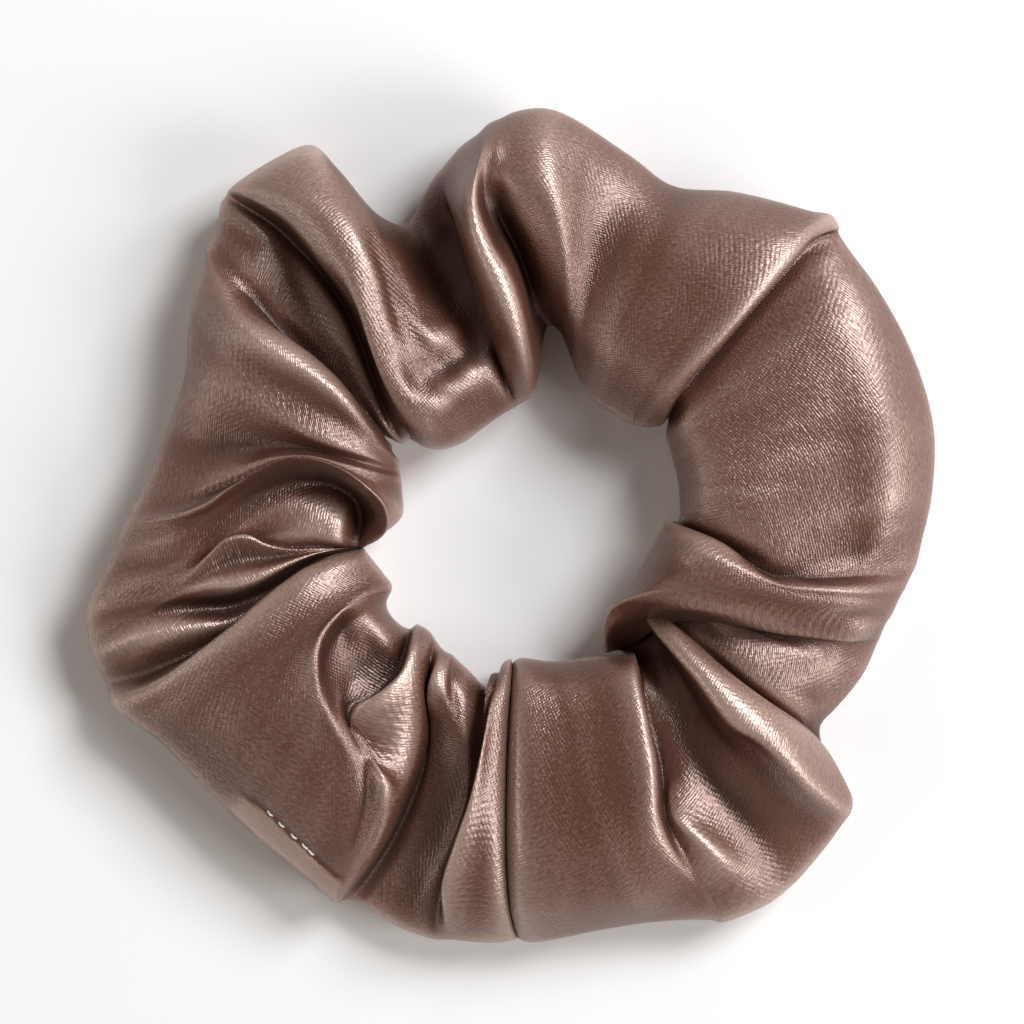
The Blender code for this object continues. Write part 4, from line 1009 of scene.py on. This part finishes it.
@dataclass
class ElasticLoop:
    """The flat braided elastic, its ends lapped and tacked with thread.

    Lengths are in millimetres, and angles in degrees. Powers below 1 square the band's section.
    """

    thread: ThreadCord
    radius: float = 26.8
    width: float = 5.0
    thickness: float = 1.0
    lift: float = 3.3
    lap: float = 12.0
    lap_bearing: float = 265.0
    lap_step: float = 1.3
    climb: float = 40.0
    stations: int = 420
    sides: int = 56
    height_power: float = 0.7
    thickness_power: float = 0.3
    cords: int = 7
    rib: float = 0.14
    tack_turns: int = 5
    tack_spots: int = 12
    tack_length: float = 8.0
    tack_gap: float = 0.475
    tack_squareness: float = 1.35

    def band(self) -> bpy.types.Object:
        """The band, one turn and a lap long, with its lengthwise cords standing out.

        Returns:
            The band.
        """
        lap = math.degrees(self.lap / self.radius)
        turned = np.linspace(0, 360 + lap, self.stations)
        middle = self.radius + self.lap_step * smooth_step(1 - (360 - turned) / self.climb)
        angle = np.linspace(0, math.tau, self.sides, endpoint=False)
        high = np.sign(np.sin(angle)) * np.abs(np.sin(angle)) ** self.height_power
        thick = np.sign(np.cos(angle)) * np.abs(np.cos(angle)) ** self.thickness_power
        ribs = 1 - self.rib * (0.5 - 0.5 * np.cos(math.pi * (high + 1) * self.cords))
        rings = [
            polar(np.full(self.sides, self.lap_bearing + turn), radius - self.thickness / 2 * thick * ribs,
                  self.lift + self.width / 2 * (1 + high))
            for turn, radius in zip(turned, middle)
        ]
        return make_tube("elastic_webbing", np.stack(rings))

    def tack(self) -> bpy.types.Object:
        """The thread wound over the lap.

        Returns:
            The thread.
        """
        wound = np.arange(self.tack_turns * self.tack_spots + 1) / self.tack_spots
        lap_middle = self.lap_bearing + math.degrees(self.lap / 2 / self.radius)
        along = (wound / self.tack_turns - 0.5) * math.degrees(self.tack_length / self.radius)
        around = wound * math.tau
        deep = (self.thickness + self.lap_step) / 2 + self.tack_gap
        tall = self.width / 2 + self.tack_gap
        out = np.clip(self.tack_squareness * np.cos(around), -1, 1)
        up = np.clip(self.tack_squareness * np.sin(around), -1, 1)
        radius = self.radius + self.lap_step / 2 + deep * out
        height = self.lift + self.width / 2 + tall * up
        return self.thread.build("elastic_tack", polar(lap_middle + along, radius, height))


def fill(node: bpy.types.Node, values: dict) -> None:
    """Sets a node's input sockets, by their names or numbers."""
    for name, value in values.items():
        node.inputs[name].default_value = value


def add_node(tree: bpy.types.NodeTree, kind: str, values: dict | None = None,
             **settings: object) -> bpy.types.Node:
    """Adds a node.

    Args:
        tree: The node tree that it goes into.
        kind: The node's type.
        values: Its input sockets' values, by their names or numbers.
        settings: The node's own settings.

    Returns:
        The new node.
    """
    node = tree.nodes.new(kind)
    for name, value in settings.items():
        setattr(node, name, value)
    fill(node, values or {})
    return node


def span(source: tuple, target: tuple) -> dict:
    """The socket values of a Map Range node that takes one span to another."""
    return dict(zip(("From Min", "From Max", "To Min", "To Max"), (*source, *target)))


class ClothGrain:
    """The node group for woven cloth and thread: slanted ribs with a broken, fibrous surface.

    Scales and stretches are for places counted in pitches. The shares say how much each part adds.
    """

    weft_scale: float = 0.21
    waver_scale: float = 0.8
    fibre_stretch: tuple = (0.5, 1.2, 1)
    blotch_stretch: tuple = (0.9, 0.9, 1)
    speck_scale: float = 0.9
    blotch_share: float = 0.9
    rib_share: float = 0.3
    weft_share: float = 0.2
    fleck_share: float = 0.7

    def __init__(self) -> None:
        """Builds the group once, for every finish to use."""
        self.tree = bpy.data.node_groups.new("cloth_grain", "ShaderNodeTree")
        for name, kind in (("Vector", "NodeSocketVector"), ("Pitch", "NodeSocketFloat"),
                           ("Slant", "NodeSocketFloat"), ("Waver", "NodeSocketFloat")):
            self.tree.interface.new_socket(name, in_out="INPUT", socket_type=kind)
        for name in ("Height", "Fleck"):
            self.tree.interface.new_socket(name, in_out="OUTPUT", socket_type="NodeSocketFloat")
        start, end = add_node(self.tree, "NodeGroupInput"), add_node(self.tree, "NodeGroupOutput")
        turn = add_node(self.tree, "ShaderNodeVectorRotate", rotation_type="Z_AXIS")
        self.join(start.outputs["Vector"], turn.inputs["Vector"])
        self.join(start.outputs["Slant"], turn.inputs["Angle"])
        per = add_node(self.tree, "ShaderNodeMath", {0: 1}, operation="DIVIDE")
        self.join(start.outputs["Pitch"], per.inputs[1])
        scale = add_node(self.tree, "ShaderNodeVectorMath", operation="SCALE")
        self.join(turn.outputs["Vector"], scale.inputs[0])
        self.join(per.outputs["Value"], scale.inputs["Scale"])
        ribs = self.waves(scale.outputs["Vector"], "Y", BAND_SCALE, start.outputs["Waver"])
        weft = self.waves(scale.outputs["Vector"], "X", self.weft_scale, start.outputs["Waver"])
        fibre = self.specks(scale.outputs["Vector"], self.fibre_stretch)
        blotch = self.specks(scale.outputs["Vector"], self.blotch_stretch)
        height = self.total(fibre, blotch, self.blotch_share)
        height = self.total(height, ribs, self.rib_share)
        height = self.total(height, weft, self.weft_share)
        self.join(height, end.inputs["Height"])
        self.join(self.total(fibre, blotch, self.fleck_share), end.inputs["Fleck"])

    def join(self, source: bpy.types.NodeSocket, target: bpy.types.NodeSocket) -> None:
        """Links two sockets."""
        self.tree.links.new(source, target)

    def waves(self, vector: bpy.types.NodeSocket, way: str, scale: float,
              waver: bpy.types.NodeSocket) -> bpy.types.NodeSocket:
        """Ribs across one direction, which waver.

        Args:
            vector: Where on the cloth.
            way: The axis that the ribs follow one another along.
            scale: The wave texture's scale.
            waver: How far the ribs waver.

        Returns:
            The ribs' height.
        """
        values = {"Scale": scale, "Detail": 1, "Detail Scale": self.waver_scale}
        wave = add_node(self.tree, "ShaderNodeTexWave", values, bands_direction=way)
        self.join(vector, wave.inputs["Vector"])
        self.join(waver, wave.inputs["Distortion"])
        return wave.outputs["Fac"]

    def specks(self, vector: bpy.types.NodeSocket, stretch: tuple) -> bpy.types.NodeSocket:
        """Fine noise.

        Args:
            vector: Where on the cloth.
            stretch: How dense the noise is along each axis.

        Returns:
            The noise's value.
        """
        mapping = add_node(self.tree, "ShaderNodeMapping", {"Scale": stretch})
        self.join(vector, mapping.inputs["Vector"])
        speck = add_node(self.tree, "ShaderNodeTexNoise", {"Scale": self.speck_scale, "Detail": 2})
        self.join(mapping.outputs["Vector"], speck.inputs["Vector"])
        return speck.outputs["Fac"]

    def total(self, base: bpy.types.NodeSocket, extra: bpy.types.NodeSocket,
              share: float) -> bpy.types.NodeSocket:
        """Adds a share of one value to another.

        Args:
            base: The value that counts in full.
            extra: The value that is added.
            share: How much of it.

        Returns:
            The sum.
        """
        node = add_node(self.tree, "ShaderNodeMath", {1: share}, operation="MULTIPLY_ADD")
        self.join(extra, node.inputs[0])
        self.join(base, node.inputs[2])
        return node.outputs["Value"]


@dataclass(frozen=True)
class ClothFinish:
    """A woven finish: its colours, its gloss and its grain.

    On a folded finish the first colour is painted shade for the bottoms and steep sides of the cloth's folds,
    and the third is a painted highlight for their crests, placed by the fold attribute; on other finishes the
    three colours are spread only by the grain's flecks. The roughness goes from its first value to its second
    with the flecks, over the fleck range. The metallic share does so with the place in a fold, from the first
    of the metal places to the second.
    """

    name: str
    valley: tuple
    plain: tuple
    crest: tuple
    roughness: tuple
    pitch: float
    slant: float
    relief: float
    metallic: tuple = (0.0, 0.0)
    metal_places: tuple = (0.1, 0.5)
    refraction: float = 1.5
    sheen: float = 0.3
    sheen_roughness: float = 0.45
    brushed: float = 0.0
    brush_turn: float = 0.25
    waver: float = 0.6
    fleck: float = 0.12
    fleck_range: tuple = (0.5, 1.2)
    crease_pitch: float = 0.95 * MM
    crease_depth: float = 1.1
    crease_waver: float = 2.5
    crease_detail: float = 0.6
    folded: bool = False

    def material(self, grain: ClothGrain) -> bpy.types.Material:
        """Makes the finish's material.

        Args:
            grain: The node group that all finishes share.

        Returns:
            The material.
        """
        material = bpy.data.materials.new(self.name)
        material.use_nodes = True
        tree = material.node_tree
        shader = tree.nodes["Principled BSDF"]
        fill(shader, {"IOR": self.refraction, "Sheen Weight": self.sheen,
                      "Sheen Roughness": self.sheen_roughness, "Anisotropic": self.brushed,
                      "Anisotropic Rotation": self.brush_turn})
        uv = add_node(tree, "ShaderNodeUVMap", uv_map=FLAT_MAP)
        way = add_node(tree, "ShaderNodeTangent", direction_type="UV_MAP", uv_map=FLAT_MAP)
        tree.links.new(way.outputs["Tangent"], shader.inputs["Tangent"])
        threads = {"Pitch": self.pitch, "Slant": math.radians(self.slant), "Waver": self.waver}
        weave = add_node(tree, "ShaderNodeGroup", threads, node_tree=grain.tree)
        tree.links.new(uv.outputs["UV"], weave.inputs["Vector"])
        bump = add_node(tree, "ShaderNodeBump", {"Strength": 1, "Distance": self.relief})
        tree.links.new(self.height(tree, weave, uv), bump.inputs["Height"])
        tree.links.new(bump.outputs["Normal"], shader.inputs["Normal"])
        tree.links.new(self.spread(tree, weave, *self.roughness), shader.inputs["Roughness"])
        # Base colour from a ramp: on a folded finish, painted shade in the valleys, the plain colour, then a
        # painted highlight on the crests; the metallic share follows the same place.
        shade = add_node(tree, "ShaderNodeValToRGB")
        stops = shade.color_ramp.elements
        stops[0].color, stops[1].color = (*self.valley, 1), (*self.crest, 1)
        stops.new(PLAIN_FOLD).color = (*self.plain, 1)
        place = self.place(tree, weave)
        tree.links.new(place, shade.inputs["Fac"])
        metal = add_node(tree, "ShaderNodeMapRange", span(self.metal_places, self.metallic))
        tree.links.new(place, metal.inputs["Value"])
        tree.links.new(metal.outputs["Result"], shader.inputs["Metallic"])
        tree.links.new(shade.outputs["Color"], shader.inputs["Base Color"])
        return material

    def height(self, tree: bpy.types.NodeTree, weave: bpy.types.Node,
               uv: bpy.types.Node) -> bpy.types.NodeSocket:
        """The grain's relief, with the short creases of a folded cloth.

        Args:
            tree: The material's nodes.
            weave: The grain's node.
            uv: The node of the flat map.

        Returns:
            The height.
        """
        if not self.folded:
            return weave.outputs["Height"]
        values = {"Scale": BAND_SCALE / self.crease_pitch, "Distortion": self.crease_waver, "Detail": 1,
                  "Detail Scale": self.crease_detail}
        crease = add_node(tree, "ShaderNodeTexWave", values, bands_direction="Y")
        tree.links.new(uv.outputs["UV"], crease.inputs["Vector"])
        crimp = add_node(tree, "ShaderNodeAttribute", attribute_name=CRIMP_LAYER)
        share = add_node(tree, "ShaderNodeMath", {1: self.crease_depth}, operation="MULTIPLY")
        tree.links.new(crimp.outputs["Fac"], share.inputs[0])
        both = add_node(tree, "ShaderNodeMath", operation="MULTIPLY_ADD")
        tree.links.new(crease.outputs["Fac"], both.inputs[0])
        tree.links.new(share.outputs["Value"], both.inputs[1])
        tree.links.new(weave.outputs["Height"], both.inputs[2])
        return both.outputs["Value"]

    def spread(self, tree: bpy.types.NodeTree, weave: bpy.types.Node, low: float,
               high: float) -> bpy.types.NodeSocket:
        """The grain's flecks, spread between two values.

        Args:
            tree: The material's nodes.
            weave: The grain's node.
            low: The lower value.
            high: The higher value.

        Returns:
            The spread value.
        """
        node = add_node(tree, "ShaderNodeMapRange", span(self.fleck_range, (low, high)))
        tree.links.new(weave.outputs["Fleck"], node.inputs["Value"])
        return node.outputs["Result"]

    def place(self, tree: bpy.types.NodeTree, weave: bpy.types.Node) -> bpy.types.NodeSocket:
        """Where each point's colour lies between the finish's darkest and palest: on a folded finish, between
        painted shade and a painted highlight.

        Args:
            tree: The material's nodes.
            weave: The grain's node.

        Returns:
            The place: on a folded finish about 0 for a valley's painted shade and 1 for a crest's painted
                highlight.
        """
        if not self.folded:
            return self.spread(tree, weave, PLAIN_FOLD - self.fleck, PLAIN_FOLD + self.fleck)
        fold = add_node(tree, "ShaderNodeAttribute", attribute_name=PAINTED_LIGHT_LAYER)
        both = add_node(tree, "ShaderNodeMath", operation="ADD")
        tree.links.new(fold.outputs["Fac"], both.inputs[0])
        tree.links.new(self.spread(tree, weave, -self.fleck, self.fleck), both.inputs[1])
        return both.outputs["Value"]


# The satin's first colour is painted shade for valleys and steep sides, and its third a painted highlight for
# crests and the hem's band; the braid's and threads' colours are only spread by flecks.
SATIN = ClothFinish("satin", (0.105, 0.045, 0.031), (0.165, 0.06, 0.036), (0.5, 0.34, 0.285), (0.33, 0.38),
                    0.34 * MM, 25, 0.065 * MM, metallic=(0.6, 0.35), refraction=2.25, sheen=0.02, brushed=0.4,
                    waver=3.0, fleck=0.13, folded=True)
BRAID = ClothFinish("braided_elastic", (0.4, 0.37, 0.34), (0.62, 0.58, 0.54), (0.74, 0.71, 0.67), (0.6, 0.85),
                    0.55 * MM, 45, 0.08 * MM, fleck=0.4)
BROWN_THREAD = ClothFinish("brown_thread", (0.08, 0.04, 0.03), (0.16, 0.085, 0.065), (0.26, 0.15, 0.12),
                           (0.4, 0.6), 0.18 * MM, 55, 0.03 * MM, fleck=0.4)
PALE_THREAD = ClothFinish("pale_thread", (0.5, 0.44, 0.4), (0.74, 0.68, 0.64), (0.86, 0.82, 0.79),
                          (0.4, 0.6), 0.18 * MM, 55, 0.03 * MM, fleck=0.4)


@dataclass(frozen=True)
class Lamp:
    """A square soft lamp: bearing and elevation in degrees, distance and size in metres, power and tint."""

    name: str
    bearing: float
    elevation: float
    distance: float
    size: float
    power: float
    tint: tuple


COOL = (0.97, 1.0, 1.03)
PLAIN = (1.0, 1.0, 1.0)
WARM = (1.03, 1.0, 0.95)
LAMPS = (
    Lamp("key", 38, 44, 1.4, 0.6, 17.0, COOL),
    Lamp("right", 343, 32, 1.4, 0.6, 9.2, PLAIN),
    Lamp("left", 188, 30, 1.4, 0.6, 2.4, WARM),
)


@dataclass
class Studio:
    """A white floor, soft lamps and a camera straight above.

    The picture spans the view's width at the height called plane. The walls' stops run from the
    horizon, at 0, to straight up, at 1.
    """

    lens: float = 180.0
    view_width: float = 0.1316
    view_shift: tuple = (-0.002957, 0.000385)
    plane: float = 0.012
    floor_size: float = 6.0
    floor_white: float = 0.95
    floor_bounce: float = 0.5
    wall_low: tuple = (0.12, 0.1, 0.085)
    wall: tuple = (0.36, 0.315, 0.275)
    ceiling: tuple = (0.06, 0.055, 0.05)
    wall_stops: tuple = (0.3, 0.6, 0.86)

    def camera(self) -> None:
        """Puts the camera above the object, looking straight down."""
        data = bpy.data.cameras.new("camera")
        data.lens = self.lens
        camera = bpy.data.objects.new("camera", data)
        distance = self.view_width * self.lens / data.sensor_width
        middle = LOOP_CENTRE[:2] + np.array(self.view_shift)
        camera.location = (*middle, self.plane + distance)
        bpy.context.scene.collection.objects.link(camera)
        bpy.context.scene.camera = camera

    def light(self, lamp: Lamp) -> None:
        """Adds a lamp that faces the object.

        Args:
            lamp: Its place, size and light.
        """
        data = bpy.data.lights.new(lamp.name, "AREA")
        data.size = lamp.size
        data.energy = lamp.power
        data.color = lamp.tint
        bearing, elevation = math.radians(lamp.bearing), math.radians(lamp.elevation)
        ray = Vector((math.cos(bearing) * math.cos(elevation), math.sin(bearing) * math.cos(elevation),
                      math.sin(elevation)))
        item = bpy.data.objects.new(lamp.name, data)
        item.location = ray * lamp.distance
        item.rotation_euler = (-ray).to_track_quat("-Z", "Y").to_euler()
        bpy.context.scene.collection.objects.link(item)

    @staticmethod
    def seen(tree: bpy.types.NodeTree) -> bpy.types.NodeSocket:
        """Tells the camera's looks and a gloss's from light that only bounces.

        Args:
            tree: The material's nodes.

        Returns:
            One where the camera or a gloss looks, and nought elsewhere.
        """
        path = add_node(tree, "ShaderNodeLightPath")
        seen = path.outputs["Is Camera Ray"]
        for ray in ("Is Glossy Ray", "Is Transmission Ray"):
            either = add_node(tree, "ShaderNodeMath", operation="MAXIMUM")
            tree.links.new(seen, either.inputs[0])
            tree.links.new(path.outputs[ray], either.inputs[1])
            seen = either.outputs["Value"]
        return seen

    def floor(self) -> None:
        """Lays the white floor, which throws back less light than it shows."""
        bpy.ops.mesh.primitive_plane_add(size=self.floor_size)
        floor = bpy.context.object
        floor.name = "floor"
        material = bpy.data.materials.new("floor")
        material.use_nodes = True
        tree = material.node_tree
        shader = tree.nodes["Principled BSDF"]
        fill(shader, {"Roughness": 1, "Specular IOR Level": 0})
        greys = {"A": (*[self.floor_bounce] * 3, 1), "B": (*[self.floor_white] * 3, 1)}
        shade = add_node(tree, "ShaderNodeMix", greys, data_type="RGBA")
        tree.links.new(self.seen(tree), shade.inputs["Factor"])
        tree.links.new(shade.outputs["Result"], shader.inputs["Base Color"])
        floor.data.materials.append(material)

    def world(self) -> None:
        """Makes the surround: pale walls and a darker ceiling."""
        world = bpy.data.worlds.new("world")
        world.use_nodes = True
        tree = world.node_tree
        way = add_node(tree, "ShaderNodeTexCoord")
        parts = add_node(tree, "ShaderNodeSeparateXYZ")
        tree.links.new(way.outputs["Generated"], parts.inputs["Vector"])
        walls = add_node(tree, "ShaderNodeValToRGB")
        stops = walls.color_ramp.elements
        stops[0].color, stops[1].color = (*self.wall_low, 1), (*self.ceiling, 1)
        for place, colour in zip(self.wall_stops, (self.wall, self.wall, self.ceiling)):
            stops.new(place).color = (*colour, 1)
        tree.links.new(parts.outputs["Z"], walls.inputs["Fac"])
        tree.links.new(walls.outputs["Color"], tree.nodes["Background"].inputs["Color"])
        bpy.context.scene.world = world

    def build(self) -> None:
        """Makes the floor, the lamps, the world and the camera."""
        self.floor()
        for lamp in LAMPS:
            self.light(lamp)
        self.world()
        bpy.context.scene.view_settings.view_transform = "Standard"
        self.camera()


def main() -> None:
    """Builds each piece in order."""
    logging.basicConfig(level=logging.INFO, format="%(message)s")
    bpy.ops.object.select_all(action="DESELECT")
    grain = ClothGrain()
    satin, braid = SATIN.material(grain), BRAID.material(grain)
    brown, pale = BROWN_THREAD.material(grain), PALE_THREAD.material(grain)
    sleeve = SatinSleeve()
    cover = sleeve.build()
    dress(cover, satin, Body.SLEEVE, Slot.SATIN, "satin_sleeve")
    bpy.context.view_layer.update()
    thread = ThreadCord()
    stitching = Stitching(sleeve, cover, thread)
    long_seam, closing_seam = stitching.long_seam(), stitching.closing_seam()
    needle, bobbin = stitching.hem_needle(), stitching.hem_bobbin()
    dress(long_seam, brown, Body.SLEEVE, Slot.BROWN_THREAD, "long_seam_thread")
    dress(closing_seam, brown, Body.SLEEVE, Slot.BROWN_THREAD, "closing_seam_thread")
    dress(needle, pale, Body.SLEEVE, Slot.PALE_THREAD, "hem_needle_thread")
    dress(bobbin, pale, Body.SLEEVE, Slot.PALE_THREAD, "hem_bobbin_thread")
    elastic = ElasticLoop(thread)
    band = elastic.band()
    dress(band, braid, Body.ELASTIC, Slot.ELASTIC, "elastic_band")
    dress(elastic.tack(), pale, Body.ELASTIC, Slot.PALE_THREAD, "elastic_tack_thread")
    Studio().build()


if __name__ == "__main__":
    main()
